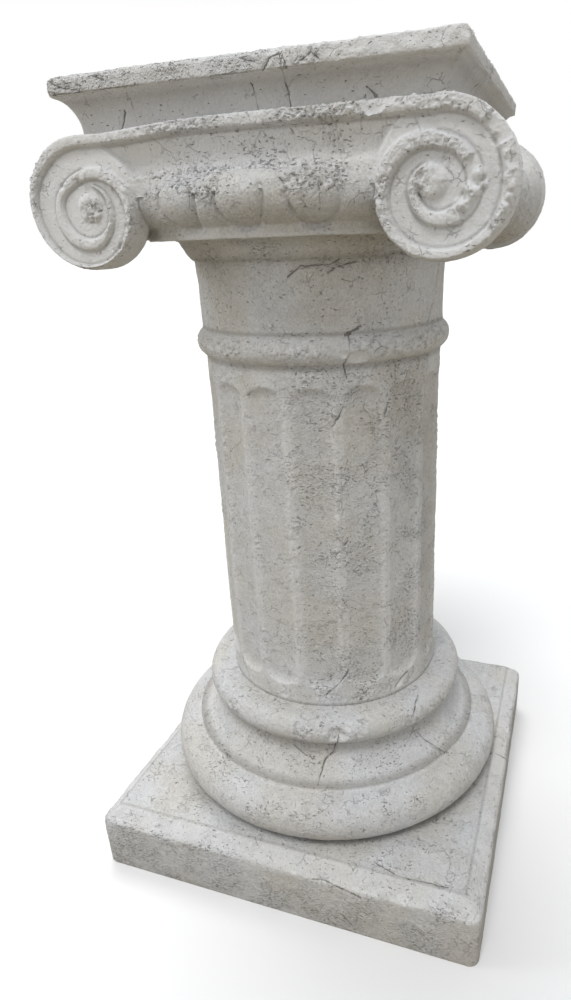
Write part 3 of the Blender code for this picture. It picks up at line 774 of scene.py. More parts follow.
# Relief of the capital's faces, in metres: thickness of the top rim beside the left and the right scroll and
# on the back face, softness of the rim's and the band's arrises, width and depth of the groove along a
# band, how full the scrolls' channels are and how deep the canalis is
TOP_RIM = (0.0090, 0.0116)
BACK_TOP_RIM = 0.0090
RIM_ARRIS = 0.0022
BAND_ARRIS = 0.0018
GROOVE_WIDTH = 0.0008
GROOVE_DEPTH = 0.0007
CHANNEL_FILL = (0.0026, 0.0012)
BACK_CHANNEL_FILL = 0.0010
CANALIS_DEPTH = 0.0040
DEEPEST_ROLL = -0.0015

# The turn at which the raised band has died away in front of the eye, and the groove beside it
BAND_END = 712
GROOVE_END = 700


def raised(inner, outer, value, soft):
    """Height, 0 to 1, of a raised band between two lines, a little higher in its middle."""
    flat = np.minimum(value - inner, outer - value)
    crown = 1 - 0.18 * (2 * (value - inner) / np.maximum(outer - inner, 1e-6) - 1) ** 2
    return smooth(flat / soft + 0.15) * (flat > -0.2 * soft) * crown


def face_rim(x, h, s, z, right, worn_front):
    """The rim along a face's top and round each eye: its height, 0 to 1, its wear and its grooves."""
    out, _, rho, turn = from_eye(x, h, s, z)
    between = out <= 0
    thick = np.interp(x, (-0.13, 0.13), TOP_RIM) if worn_front else BACK_TOP_RIM + 0 * x
    rim = raised(z.scroll_top - thick, z.scroll_top + 0.0006, h, RIM_ARRIS) * between
    worn = rim * 0.75
    groove = np.exp(-((h - z.scroll_top + thick + 0.0004) / 0.0009) ** 2) * between
    for winding in (0, 1):
        along = turn + 360 * winding
        outer, inner, wear_here = (
            np.where(right, smooth_line(ours, 45.0, along), smooth_line(theirs, 45.0, along))
            for ours, theirs in zip(zip(*RIGHT_BAND), zip(*LEFT_BAND)))
        outer, inner = outer * MM, inner * MM
        part = raised(inner, outer + (0.0006 if winding == 0 else 0), rho, BAND_ARRIS)
        part *= smooth((BAND_END - along) / 30) * (1 - 0.15 * winding)
        for start, end, left in BROKEN_BAND if worn_front else ():
            part = np.where(right & (along >= start) & (along < end), part * left, part)
        worn = np.where(part > rim, np.where(right, 1.0, 0.7) * part * wear_here, worn)
        rim = np.maximum(rim, part)
        kept = smooth((GROOVE_END - along) / 20)
        for edge in (inner - 0.0003, outer + 0.0004)[:1 + winding]:
            groove = np.maximum(groove, np.exp(-((rho - edge) / GROOVE_WIDTH) ** 2) * kept)
    return rim, worn, groove


def face_relief(x, h, s, z, worn_front):
    """Relief over the ground of a capital face, how crumbled it is, and its grooves."""
    right = (x > 0) | (not worn_front)
    rim, worn, groove = face_rim(x, h, s, z, right, worn_front)

    out, up, _, _ = from_eye(x, h, s, z)
    slips = EYE_SLIPS if worn_front else ((0.0, 0.0), (0.0, 0.0))
    eye_out, eye_up = (np.where(right, ours, theirs) for theirs, ours in zip(*slips))
    boss = np.hypot(out - eye_out, up - eye_up) / (s.eye_radius * 0.90)
    eye = np.clip(1 - boss ** 4, 0, 1) ** 0.5
    worn = np.maximum(worn, eye)

    # The channel of each scroll is partly filled up
    filled = np.where(right, CHANNEL_FILL[1], CHANNEL_FILL[0]) if worn_front else BACK_CHANNEL_FILL
    in_scroll = face_disc(x, h, s, z)
    relief = np.maximum(s.rim_height * rim, s.rim_height * 0.92 * eye)
    relief = np.maximum(relief, filled * smooth(in_scroll / 0.004)) - GROOVE_DEPTH * groove

    # The canalis between the scrolls is hollow, and runs out on the echinus' roll below it
    clear = 1 - smooth((in_scroll + 0.0005) / 0.003)
    t = np.clip((h - z.canalis_foot) / (z.scroll_top - s.rim_width - z.canalis_foot), 0, 1)
    relief -= CANALIS_DEPTH * np.sin(np.pi * t) * clear * (rim < 0.02)
    bulge = np.sqrt(np.clip(1 - ((h - z.echinus) / s.echinus_half) ** 2, 0, 1))
    girth = (s.echinus_radius + s.echinus_bulge * bulge) ** 2 - x ** 2
    roll = np.sqrt(np.maximum(girth, 0)) - (z.face - s.rim_height) - 0.002
    on_roll = smooth((z.echinus_top + 0.0055 - h) / 0.0070) * clear
    relief = relief * (1 - on_roll) + np.maximum(roll, DEEPEST_ROLL) * on_roll
    worn = np.maximum(worn, 0.9 * hump(h, z.echinus_top + 0.001, 0.006) * clear)
    if worn_front:
        worn = np.maximum(worn, 0.75 * clear * smooth((x - 0.030) / 0.040))
        for (across, high), radius, height in FRONT_LUMPS:
            aside = np.hypot(x - across * MM, h - high * MM) / (radius * MM)
            relief = relief + height * MM * np.clip(1 - aside ** 2, 0, 1) ** 0.6
            worn = np.maximum(worn, 0.9 * np.exp(-aside ** 2))
    return relief, worn, groove


def outlined_grid(inside, left, right, low, high, step):
    """Cells of a grid, cut along the line where inside() is 0.

    Returns the points, the whole cells, the cut cells and the cut line as pairs of point numbers.
    """
    columns, rows = round((right - left) / step) + 1, round((high - low) / step) + 1
    gx, gh = np.meshgrid(np.linspace(left, right, columns), np.linspace(low, high, rows), indexing="ij")
    depth = inside(gx, gh)
    index = -np.ones(gx.shape, int)
    kept = depth > 0
    index[kept] = np.arange(kept.sum())
    points = list(zip(gx[kept].tolist(), gh[kept].tolist()))
    full = kept[:-1, :-1] & kept[1:, :-1] & kept[1:, 1:] & kept[:-1, 1:]
    whole = np.stack([index[:-1, :-1], index[1:, :-1], index[1:, 1:], index[:-1, 1:]], axis=-1)[full]
    any_in = kept[:-1, :-1] | kept[1:, :-1] | kept[1:, 1:] | kept[:-1, 1:]
    crossings, cut_cells, line = {}, [], []

    def crossing(a, b):
        key = (a, b) if a < b else (b, a)
        if key not in crossings:
            (ax, ah), (bx, bh) = (gx[key[0]], gh[key[0]]), (gx[key[1]], gh[key[1]])
            t = depth[key[0]] / (depth[key[0]] - depth[key[1]])
            # Kept away from the corners, so that no cut cell has a sliver
            t = min(max(t, 0.2), 0.8)
            crossings[key] = len(points)
            points.append((ax + (bx - ax) * t, ah + (bh - ah) * t))
        return crossings[key]

    for i, j in zip(*np.where(any_in & ~full)):
        corners = [(i, j), (i + 1, j), (i + 1, j + 1), (i, j + 1)]
        cell, exits = [], []
        for a, b in zip(corners, corners[1:] + corners[:1]):
            if kept[a]:
                cell.append(int(index[a]))
            if kept[a] != kept[b]:
                cell.append(crossing(a, b))
                exits.append((cell[-1], bool(kept[a])))
        cut_cells.append(cell)
        leaving = [p for p, out in exits if out]
        entering = [p for p, out in exits if not out]
        line += list(zip(leaving, entering)) if len(leaving) == 1 else []
    return np.array(points), whole, cut_cells, line


def ordered(line):
    """The cut line's point numbers in order round the outline."""
    following = dict(line)
    start = line[0][0]
    ring = [start]
    while following[ring[-1]] != start:
        ring.append(following[ring[-1]])
    return ring


# How far a capital face's wall reaches back from its ground, the rows of faces along it, and how far the
# left end of the front face sags
FACE_WALL = 0.018
WALL_RANKS = 7
FACE_SAG = 0.0042


def capital_face(name, front, step):
    """One scrolled face of the capital: relief over cut cells, a wall behind it and a flat back."""
    s, _, z = measures(bpy.context.scene)
    largest = max(SCROLL_RADII)
    reach = s.scroll_x + largest + 0.004
    flat, whole, cut_cells, line = outlined_grid(
        lambda x, h: face_inside(x, h, s, z), -reach, reach,
        z.scroll - largest - 0.002, z.scroll_top + 0.003, step)
    x, h = flat.T
    relief, crumbly, groove = face_relief(x, h, s, z, front)
    sag = FACE_SAG * smooth((-x - 0.03) / 0.09) * smooth((h - z.scroll) / 0.035) * front
    flat = np.stack([x, h - sag], axis=1)
    ground = z.face - s.rim_height
    deep = ground + relief
    back = ground - FACE_WALL
    ring = ordered(line)
    points, loops = [np.stack([flat[:, 0], -deep, flat[:, 1]], axis=1)], [np.array(ring)]
    for rank in range(1, WALL_RANKS + 1):
        behind = deep[ring] + (back - deep[ring]) * rank / WALL_RANKS
        points.append(np.stack([flat[ring, 0], -behind, flat[ring, 1]], axis=1))
        loops.append(len(flat) + (rank - 1) * len(ring) + np.arange(len(ring)))
    points = np.concatenate(points)
    walls = [np.stack([fore, aft, np.roll(aft, -1), np.roll(fore, -1)], axis=1)
             for fore, aft in zip(loops, loops[1:])]
    if not front:
        points[:, :2] *= -1
    piece = make_piece(name, points, np.concatenate([whole] + walls), cut_cells + [loops[-1].tolist()])
    bm = bmesh.new()
    bm.from_mesh(piece.data)
    bmesh.ops.recalc_face_normals(bm, faces=bm.faces)
    bm.to_mesh(piece.data)
    bm.free()
    fray, lodged_and_painted_shade, pocked = np.full(len(points), 0.15), np.zeros(len(points)), np.full(len(points), 0.15)
    fray[:len(flat)] = crumbly
    # Painted shade in the grooves along the rim and the bands
    lodged_and_painted_shade[:len(flat)] = 0.30 * groove
    pocked[:len(flat)] += 0.35 * crumbly + 0.3 * smooth((0.085 - np.abs(x)) / 0.03)
    # The whole face is painted paler, as painted light
    weather(piece, rough=fray * (1.0 if front else 0.6), pocked=pocked, lodged_and_painted_shade=lodged_and_painted_shade, rubbed_and_painted_light=0.9)
    finish_piece(piece)


# The base hides the plinth's top within this distance, so it is coarse and left alone there
UNDER_BASE = 0.118


class ColumnPlinth(bpy.types.Operator):
    """The square plinth, its broad chamfer and the top that the base stands on"""

    bl_idname = "column.plinth"
    bl_label = "Plinth"

    def execute(self, context):
        s, wear, z = measures(context.scene)
        half, level, grain = s.plinth_width / 2, s.plinth_height, wear.grain * 1.12
        chamfer_in = half - s.chamfer_width
        outline = [(half - 0.0006, 0.0), (half, 0.0008), (half, z.chamfer - 0.0012),
                   (half - 0.0010, z.chamfer + 0.0006), (chamfer_in + 0.0014, level - 0.0007),
                   (chamfer_in - 0.0012, level)]
        skin = evenly(outline, grain)
        top = evenly([skin[-1], (UNDER_BASE, level)], grain * 1.25)[1:]
        inner = evenly([(UNDER_BASE, level), (0.01, level)], 0.018)[1:]
        piece = square_piece("plinth", np.concatenate([skin, top, inner]), s.plinth_corner, wear)

        x, y, h = places(piece).T
        far = np.maximum(np.abs(x), np.abs(y))
        on_chamfer = (h > z.chamfer) & (far > chamfer_in)
        on_top = h > level - 0.0025
        crease = hump(far, chamfer_in, 0.004) * (h > level - 0.004) * 0.4
        edge = np.maximum(hump(h, z.chamfer, 0.007), crease)
        foot = hump(h, 0.0, 0.006) * 0.35
        broken = hump(h, z.chamfer + 0.001, 0.008) * (y < -half + 0.014) * smooth((x + 0.01) / 0.05)
        # A little darker all over, more on the walls towards their foot and on the front chamfer; painted
        # shade on the right wall, in the chamfer's crease, and on the top round the base where it stands
        soil_and_painted_shade = 0.03 + smooth((z.chamfer - h) / 0.012) * (0.05 + 0.12 * smooth(1 - h / 0.05))
        soil_and_painted_shade += 0.08 * on_chamfer * (y < -half + 0.02) + 0.12 * (x > half - 0.002)
        soil_and_painted_shade += 0.30 * hump(far, chamfer_in - 0.0008, 0.0026) * on_top
        from_base = np.hypot(x, y) - s.lower_torus_radius - 0.012
        soil_and_painted_shade += 0.20 * smooth(1 - from_base / 0.022) * on_top
        # The chamfer is painted paler: wear from rubbing and painted light together
        weather(piece, rough=np.where(on_chamfer, 0.30, 0.12 + 0.25 * foot) + 0.55 * broken,
                edge=0.55 * edge + 0.5 * foot + 0.5 * broken,
                pocked=np.where(far > half - 0.003, 0.62, 0.35), lodged_and_painted_shade=soil_and_painted_shade,
                rubbed_and_painted_light=0.45 * on_chamfer, still=1.0 * ((h < 0.0004) | (far < UNDER_BASE + 0.002)))
        finish_piece(piece)
        return {"FINISHED"}


class ColumnBase(bpy.types.Operator):
    """The turned base: lower torus, hollow moulding and upper torus"""

    bl_idname = "column.base"
    bl_label = "Base mouldings"

    def execute(self, context):
        s, wear, z = measures(context.scene)
        outline = base_outline(s, z)
        rows = np.concatenate([outline[:1], evenly(outline[1:-1], wear.grain * 1.08),
                               evenly(outline[-2:], 0.015)[1:]])
        angles = turned_angles(s.lower_torus_radius + s.lower_torus_tube, wear, 1.15)
        piece = closed_turned("base_mouldings", turned_points(rows, angles))

        x, y, h = places(piece).T
        r = np.hypot(x, y)
        edge = np.maximum(hump(h, z.scotia_foot - 0.001, 0.005) * (r > s.scotia_foot - 0.006),
                          hump(h, z.scotia_head, 0.004) * 0.6)
        # Painted shade under the upper torus, on the fillet and where the lower torus meets the plinth
        crease_shade = (0.22 * hump(h, z.scotia_head - 0.002, 0.013),
                   0.45 * hump(h, z.scotia_foot - 0.0005, 0.0028),
                   0.50 * hump(h, s.plinth_height + 0.001, 0.0050))
        weather(piece, rough=0.16 + 0.35 * hump(h, z.upper_torus, 0.014) + 0.45 * edge, edge=edge * 0.25,
                pocked=0.38, lodged_and_painted_shade=0.05 + np.max(crease_shade, axis=0), still=smooth((0.105 - r) / 0.004))
        finish_piece(piece)
        return {"FINISHED"}


# The flutes' turn from the middle of the front in degrees, a flute's half width as a share of the spacing,
# and how long its rounded end is
FLUTE_TURN = 2.5
FLUTE_HALF = 0.418
FLUTE_END = 0.012


def flute_depth_at(angle, height, s, z):
    """Depth of the flutes at places on the shaft, and how near the place is to a flute's edge."""
    pitch = 360 / s.flutes
    first = -90 + FLUTE_TURN + pitch / 2
    across = ((np.degrees(angle) - first + pitch / 2) % pitch - pitch / 2) / (FLUTE_HALF * pitch)
    reach = np.clip(np.minimum(height - z.flute_foot, z.flute_head - height) / FLUTE_END, 0, 1)
    q = across ** 2 + (1 - reach) ** 2
    depth = s.flute_depth * np.clip(1 - q ** 1.5, 0, 1) ** 0.8
    return depth, np.exp(-((np.sqrt(q) - 1) / 0.16) ** 2)


class ColumnShaft(bpy.types.Operator):
    """The fluted shaft"""

    bl_idname = "column.shaft"
    bl_label = "Fluted shaft"

    def execute(self, context):
        s, wear, z = measures(context.scene)
        rows = evenly(shaft_outline(s, z), wear.grain * 1.18)
        angles = turned_angles(s.shaft_foot, wear, 1.08)
        points = turned_points(rows, angles)
        depth, edge = flute_depth_at(angles[None, :], rows[:, 1][:, None], s, z)
        points[:, :, :2] *= (1 - depth / rows[:, 0][:, None])[:, :, None]
        piece = closed_turned("shaft", points)

        # The two points on the axis lie in no flute
        edge, bed = (np.append(value, [0, 0]) for value in (edge, depth / s.flute_depth))
        x, y, h = places(piece).T
        facing = np.degrees(np.arctan2(y, x))
        pocked = 0.26 + 0.30 * smooth((facing + 88) / 22) * smooth((10 - facing) / 30)
        # Painted shade where the shaft meets the base and the astragal, and a little in the flutes' beds;
        # the flutes' arrises are painted paler, wear from rubbing and painted highlight together
        crease_shade = 0.45 * hump(h, z.shaft_foot + 0.001, 0.004) + 0.40 * hump(h, z.shaft_head, 0.005)
        weather(piece, rough=0.10 + 0.38 * edge, edge=0.16 * edge, pocked=pocked,
                lodged_and_painted_shade=0.05 * bed + crease_shade, rubbed_and_painted_light=0.38 * edge)
        finish_piece(piece)
        return {"FINISHED"}


class ColumnNeck(bpy.types.Operator):
    """The astragal, the plain neck and the flared band over it"""

    bl_idname = "column.neck"
    bl_label = "Astragal and neck"

    def execute(self, context):
        s, wear, z = measures(context.scene)
        rows = evenly(neck_outline(s, z), wear.grain * 1.08)
        angles = turned_angles(s.neck_radius, wear, 1.1)
        piece = closed_turned("astragal_and_neck", turned_points(rows, angles))

        h = places(piece)[:, 2]
        top = hump(h, z.neck_top + 0.001, 0.006)
        flare = smooth((h - z.neck_top + 0.012) / 0.008)
        # Painted shade over the astragal and under the flared band
        crease_shade = np.maximum(0.40 * hump(h, z.astragal + s.astragal_tube, 0.003), 0.25 * top)
        weather(piece, rough=0.12 + 0.40 * hump(h, z.astragal, 0.012) + 0.45 * top, edge=0.3 * top,
                pocked=0.25 + 0.20 * flare, lodged_and_painted_shade=crease_shade)
        finish_piece(piece)
        return {"FINISHED"}


# The eggs: degrees from one to the next, half width and half height, and how far each stands out and the
# groove round it goes in
EGG_PITCH = 18.7
EGG_HALF_WIDTH = 0.0165
EGG_HALF_HEIGHT = 0.0175
EGG_RELIEF = 0.0028
EGG_GROOVE = 0.0036

# The leaf that fills the corner at each end of the eggs: degrees from the middle, half width and relief
LEAF_PLACE = 33
LEAF_HALF = 5
LEAF_RELIEF = 0.0035


def egg_relief(angles, heights, s, z):
    """How far the eggs and the leaves beside them stand out of the echinus, front and back."""
    lift = np.zeros((len(heights), len(angles)))
    above = (heights[:, None] - z.echinus + 0.001) / EGG_HALF_HEIGHT
    for front in (-90, 90):
        off = (np.degrees(angles)[None, :] - front + 180) % 360 - 180
        for egg_at in (-EGG_PITCH, 0, EGG_PITCH):
            across = np.radians(off - egg_at) * (s.echinus_radius + s.echinus_bulge) / EGG_HALF_WIDTH
            q = np.sqrt(across ** 2 + above ** 2)
            egg = np.clip(1 - q ** 2.4, 0, 1) ** 0.7
            groove = np.exp(-((q - 1.12) / 0.10) ** 2) * smooth((0.6 - above) / 0.4)
            lift += EGG_RELIEF * egg - EGG_GROOVE * groove
        for leaf_at in (-LEAF_PLACE, LEAF_PLACE):
            lift += LEAF_RELIEF * np.exp(-((off - leaf_at) / LEAF_HALF) ** 2)
    return lift


class ColumnEchinus(bpy.types.Operator):
    """The fillet and the echinus with its eggs, front and back"""

    bl_idname = "column.echinus"
    bl_label = "Echinus"

    def execute(self, context):
        s, wear, z = measures(context.scene)
        outline = echinus_outline(s, z)
        rows = np.concatenate([outline[:1], evenly(outline[1:], wear.grain * 0.98)])
        angles = turned_angles(s.echinus_radius + s.echinus_bulge, wear, 1.05)
        points = turned_points(rows, angles)
        outward = rows[:, 0] > s.echinus_radius - 0.002
        lift = egg_relief(angles, rows[:, 1], s, z) * (outward / np.maximum(rows[:, 0], 0.05))[:, None]
        points[:, :, :2] *= 1 + lift[:, :, None]
        piece = closed_turned("echinus", points)

        h = places(piece)[:, 2]
        top = smooth((h - z.echinus + 0.004) / 0.010)
        lip = hump(h, z.fillet_foot + 0.001, 0.004)
        # Painted light on the fillet's lip
        weather(piece, rough=0.16 + 0.70 * top + 0.1 * lip, edge=0.15 * lip, pocked=0.25 + 0.6 * top,
                rubbed_and_painted_light=0.6 * lip)
        finish_piece(piece)
        return {"FINISHED"}


class ColumnFaces(bpy.types.Operator):
    """The two scrolled faces of the capital, the front one with its breaks"""

    bl_idname = "column.faces"
    bl_label = "Scrolled faces"

    def execute(self, context):
        wear = context.scene.column_wear
        capital_face("scrolled_face", True, wear.face_grain)
        capital_face("scrolled_face_back", False, wear.face_grain * 2)
        return {"FINISHED"}


class ColumnBolsters(bpy.types.Operator):
    """The waisted rolls that join each front scroll to the one behind it"""

    bl_idname = "column.bolsters"
    bl_label = "Bolsters"

    def execute(self, context):
        s, wear, z = measures(context.scene)
        end = z.face - s.rim_height - 0.003
        centre_z = z.scroll + 0.0005
        for side, name, grain in ((1, "bolster_right", wear.grain * 1.2),
                                  (-1, "bolster_left", wear.coarse)):
            y = np.linspace(-end, end, round(2 * end / grain))[:, None]
            a = np.linspace(0, 2 * np.pi, round(2 * np.pi * 0.040 / grain), endpoint=False)
            swelling = smooth((np.abs(y) - s.bolster_straight) / (end - s.bolster_straight))
            radius = s.bolster_waist + (s.bolster_end - s.bolster_waist) * swelling
            centre_x = side * (s.scroll_x + s.bolster_outset)
            points = [centre_x + radius * np.cos(a), y + 0 * a, centre_z - radius * np.sin(a)]
            piece = closed_turned(name, np.stack(points, axis=-1))
            weather(piece, rough=0.25)
            finish_piece(piece)
        return {"FINISHED"}


class ColumnAbacus(bpy.types.Operator):
    """The square abacus with its cove, and the plain core under it"""

    bl_idname = "column.abacus"
    bl_label = "Abacus"

    def execute(self, context):
        s, wear, z = measures(context.scene)
        half = s.abacus_half
        outline = [(half - s.cove_depth, z.canalis_foot + 0.004)]
        for a in np.radians(np.linspace(90, 6, 16)):
            outline.append((half - s.cove_depth * math.sin(a),
                            z.fascia - s.cove_height * (1 - math.cos(a))))
        outline += [(half - 0.0006, z.fascia + 0.0004), (half, z.fascia + 0.0020),
                    (half, z.top - 0.0042), (half - 0.0010, z.top - 0.0018),
                    (half - 0.0028, z.top - 0.0004), (half - 0.0050, z.top)]
        skin = evenly(outline, wear.grain)
        top = evenly([skin[-1], (half - 0.030, z.top)], wear.grain * 1.6)[1:]
        inner = evenly([top[-1], (0.008, z.top)], 0.0045)[1:]
        piece = square_piece("abacus", np.concatenate([skin, top, inner]), s.abacus_corner, wear)

        x, y, h = places(piece).T
        far = np.maximum(np.abs(x), np.abs(y))
        arris = hump(h, z.top, 0.006) * (far > half - 0.006)
        ragged = arris * smooth((x - 0.035) / 0.030) * (y < -half + 0.02)
        fascia = smooth((h - z.fascia) / 0.002) * (far > half - 0.004)
        edge = np.maximum(arris * 0.14, hump(h, z.fascia + 0.001, 0.004) * 0.20)
        left = smooth((0.030 - x) / 0.030)
        # Painted shade in and under the cove, darkest towards its head under the fascia
        cove = smooth((z.fascia - h) / 0.004) * (0.24 + 8.0 * np.clip(h - z.cove_foot - 0.006, 0, 1))
        weather(piece, rough=0.10 + 0.25 * fascia + 0.5 * ragged + 0.3 * edge, edge=edge + 0.12 * ragged,
                pocked=0.12 + fascia * (0.35 + 0.45 * left), lodged_and_painted_shade=cove)
        finish_piece(piece)
        return {"FINISHED"}


# ---------------------------------------------------------------- stone and stage


def add(tree, kind, settings=None, inputs=None, output=0):
    """Add a node with its settings and links, and return one of its outputs.

    An input is a value or another node's output.
    """
    node = tree.nodes.new(kind)
    for name, value in (settings or {}).items():
        setattr(node, name, value)
    for name, value in (inputs or {}).items():
        if isinstance(value, bpy.types.NodeSocket):
            tree.links.new(value, node.inputs[name])
        else:
            node.inputs[name].default_value = value
    return node.outputs[output] if node.outputs else None


# Node kinds and their settings, under short names
NOISE, RANGE = "ShaderNodeTexNoise", "ShaderNodeMapRange"
MIX, MATH, VECTOR = "ShaderNodeMix", "ShaderNodeMath", "ShaderNodeVectorMath"
EASED = {"interpolation_type": "SMOOTHSTEP"}
COLOUR = {"data_type": "RGBA"}
SHADED = {"data_type": "RGBA", "blend_type": "MULTIPLY"}
PLUS, MINUS, TIMES = {"operation": "ADD"}, {"operation": "SUBTRACT"}, {"operation": "MULTIPLY"}
TIMES_PLUS, LARGER = {"operation": "MULTIPLY_ADD"}, {"operation": "MAXIMUM"}
SIZE_OF = {"operation": "ABSOLUTE"}

# Inputs and output of a mix node of colours
SHARE, FIRST, SECOND, MIXED = 0, 6, 7, 2

# Real sizes of the stone's pattern, in metres. Its warm clouds are as large as a hand, and it lies in
# blotches of 7 to 8 mm where the grit has gathered. Sand of 0.3 to 1 mm gives the skin its tooth, and the
# air holes are under 1 mm: both are too fine to show at this picture's size, so they are drawn at 1.7 mm.
# Crazed skin breaks up into cells of about 11 mm.
CLOUDS = 0.085
BLOTCHES = 0.0075
SKIN = 0.0017
AIR_HOLES = 0.0017
HOLE_FIELDS = 0.030
CRACK_WIDTHS = 0.0055
CRAZING = 0.011
CRAZING_FIELDS = 0.013
CRAZING_STRAY = 0.006
DIRT_IN_HOLES, DIRT_IN_CRACKS, DIRT_IN_HAIRS = 0.44, 0.45, 0.18
DEEPEST_HOLE = 0.0014


def cast_stone():
    """Weathered cast stone: fine aggregate and cement, tamped in a mould and left out of doors.

    Sand and cement with no polish give the eye a matt, slightly chalky grey-white with warmer clouds.
    It is full of small grey-brown air holes and short scores, and whiter where it has been chipped.
    """
    known = bpy.data.materials.get("weathered_cast_stone")
    if known:
        return known
    tints = bpy.context.scene.column_tints
    material = bpy.data.materials.new("weathered_cast_stone")
    material.use_nodes = True
    tree = material.node_tree
    tree.nodes.clear()
    place = add(tree, "ShaderNodeTexCoord", output="Object")
    pocked, grime_and_painted_shade, fresh_and_painted_light, aside, near = (
        add(tree, "ShaderNodeAttribute", {"attribute_name": name}, output="Fac")
        for name in ("pocked", "grime_and_painted_shade", "fresh_and_painted_light", "crack_side", "crack_near"))

    # The cement's own colour, in warmer and cooler clouds
    clouds = add(tree, NOISE, {}, {"Vector": place, "Scale": 1 / CLOUDS, "Detail": 5.0, "Roughness": 0.55})
    clouds = add(tree, RANGE, EASED, {"Value": clouds, "From Min": 0.38, "From Max": 0.64})
    body = add(tree, MIX, COLOUR, {
        SHARE: clouds, FIRST: linear(tints.stone), SECOND: linear(tints.warm)}, MIXED)
    skin = add(tree, NOISE, {}, {"Vector": place, "Scale": 1 / SKIN, "Detail": 3.0, "Roughness": 0.6})
    tone = add(tree, RANGE, EASED, {
        "Value": skin, "From Min": 0.28, "From Max": 0.72, "To Min": 0.85, "To Max": 1.07})
    body = add(tree, MIX, SHADED, {SHARE: 1.0, FIRST: body, SECOND: tone}, MIXED)
    blotch = add(tree, NOISE, {}, {"Vector": place, "Scale": 1 / BLOTCHES, "Detail": 3.0, "Roughness": 0.6})
    tone = add(tree, RANGE, EASED, {
        "Value": blotch, "From Min": 0.30, "From Max": 0.70, "To Min": 0.94, "To Max": 1.03})
    body = add(tree, MIX, SHADED, {SHARE: 1.0, FIRST: body, SECOND: tone}, MIXED)

    # Small air holes, drawn out a little aslant as the mix was tamped, and more of them where it is pocked
    fields = add(tree, NOISE, {}, {
        "Vector": place, "Scale": 1 / HOLE_FIELDS, "Detail": 3.0, "Roughness": 0.55})
    fields = add(tree, RANGE, EASED, {
        "Value": fields, "From Min": 0.45, "From Max": 0.70, "To Min": -0.01, "To Max": 0.035})
    often = add(tree, MATH, TIMES_PLUS, {0: pocked, 1: 0.135, 2: fields})
    often = add(tree, MATH, PLUS, {0: often, 1: 0.275})
    lean = add(tree, "ShaderNodeMapping", {}, {
        "Vector": place, "Rotation": (0.0, math.radians(28.0), 0.0), "Scale": (0.5, 0.8, 1.15)})
    holes = add(tree, NOISE, {}, {"Vector": lean, "Scale": 1 / AIR_HOLES, "Detail": 2.0, "Roughness": 0.5})
    holes = add(tree, MATH, MINUS, {0: often, 1: holes})
    holes = add(tree, RANGE, EASED, {"Value": holes, "From Min": -0.02, "From Max": 0.05})

    # Cracks, whose line narrows and widens along its way
    jagged = add(tree, MATH, MINUS, {0: skin, 1: 0.5})
    jagged = add(tree, MATH, TIMES_PLUS, {0: jagged, 1: 1.8, 2: aside})
    jagged = add(tree, MATH, SIZE_OF, {0: jagged})
    narrow = add(tree, NOISE, {}, {
        "Vector": place, "Scale": 1 / CRACK_WIDTHS, "Detail": 1.0, "Roughness": 0.55})
    narrow = add(tree, MATH, MINUS, {0: narrow, 1: 0.5})
    narrow = add(tree, MATH, TIMES_PLUS, {0: narrow, 1: 1.7, 2: jagged})
    line = add(tree, RANGE, EASED, {
        "Value": narrow, "From Min": 0.16, "From Max": 0.46, "To Min": 1.0, "To Max": 0.0})
    close = add(tree, RANGE, EASED, {"Value": near, "From Min": 0.45, "From Max": 0.75})
    line = add(tree, MATH, TIMES, {0: line, 1: close})

    # Hair cracks between cells of crazed skin
    shove = add(tree, NOISE, {}, {"Vector": place, "Scale": 1 / CRAZING_STRAY, "Detail": 3.0}, "Color")
    pushed = add(tree, VECTOR, TIMES_PLUS, {0: shove, 1: (0.007, 0.007, 0.007), 2: place})
    cells = add(tree, "ShaderNodeTexVoronoi", {"feature": "DISTANCE_TO_EDGE"}, {
        "Vector": pushed, "Scale": 1 / CRAZING}, "Distance")
    cells = add(tree, RANGE, EASED, {
        "Value": cells, "From Min": 0.006, "From Max": 0.028, "To Min": 0.5, "To Max": 0.0})
    crazed = add(tree, NOISE, {}, {
        "Vector": place, "Scale": 1 / CRAZING_FIELDS, "Detail": 2.0, "Roughness": 0.55})
    crazed = add(tree, MATH, TIMES_PLUS, {0: pocked, 1: 0.10, 2: crazed})
    crazed = add(tree, RANGE, EASED, {"Value": crazed, "From Min": 0.57, "From Max": 0.66})
    hairs = add(tree, MATH, TIMES, {0: cells, 1: crazed})

    # Pale where it is broken or worn by rubbing and where painted light lies on lit arrises, rims and the
    # capital, and brown-grey where soiling has settled and where painted shade lies in grooves, coves, the
    # angles between members and round the base
    pale = add(tree, MATH, TIMES, {0: fresh_and_painted_light, 1: 0.7})
    body = add(tree, MIX, COLOUR, {SHARE: pale, FIRST: body, SECOND: linear(tints.fresh_and_painted_light)}, MIXED)
    dirt_and_painted_shade = add(tree, MATH, TIMES, {0: holes, 1: DIRT_IN_HOLES})
    for mark, strength in ((line, DIRT_IN_CRACKS), (hairs, DIRT_IN_HAIRS)):
        laid = add(tree, MATH, TIMES, {0: mark, 1: strength})
        dirt_and_painted_shade = add(tree, MATH, LARGER, {0: dirt_and_painted_shade, 1: laid})
    dirt_and_painted_shade = add(tree, MATH, PLUS, {0: dirt_and_painted_shade, 1: grime_and_painted_shade})
    body = add(tree, MIX, COLOUR, {SHARE: dirt_and_painted_shade, FIRST: body, SECOND: linear(tints.grime_and_painted_shade)}, MIXED)

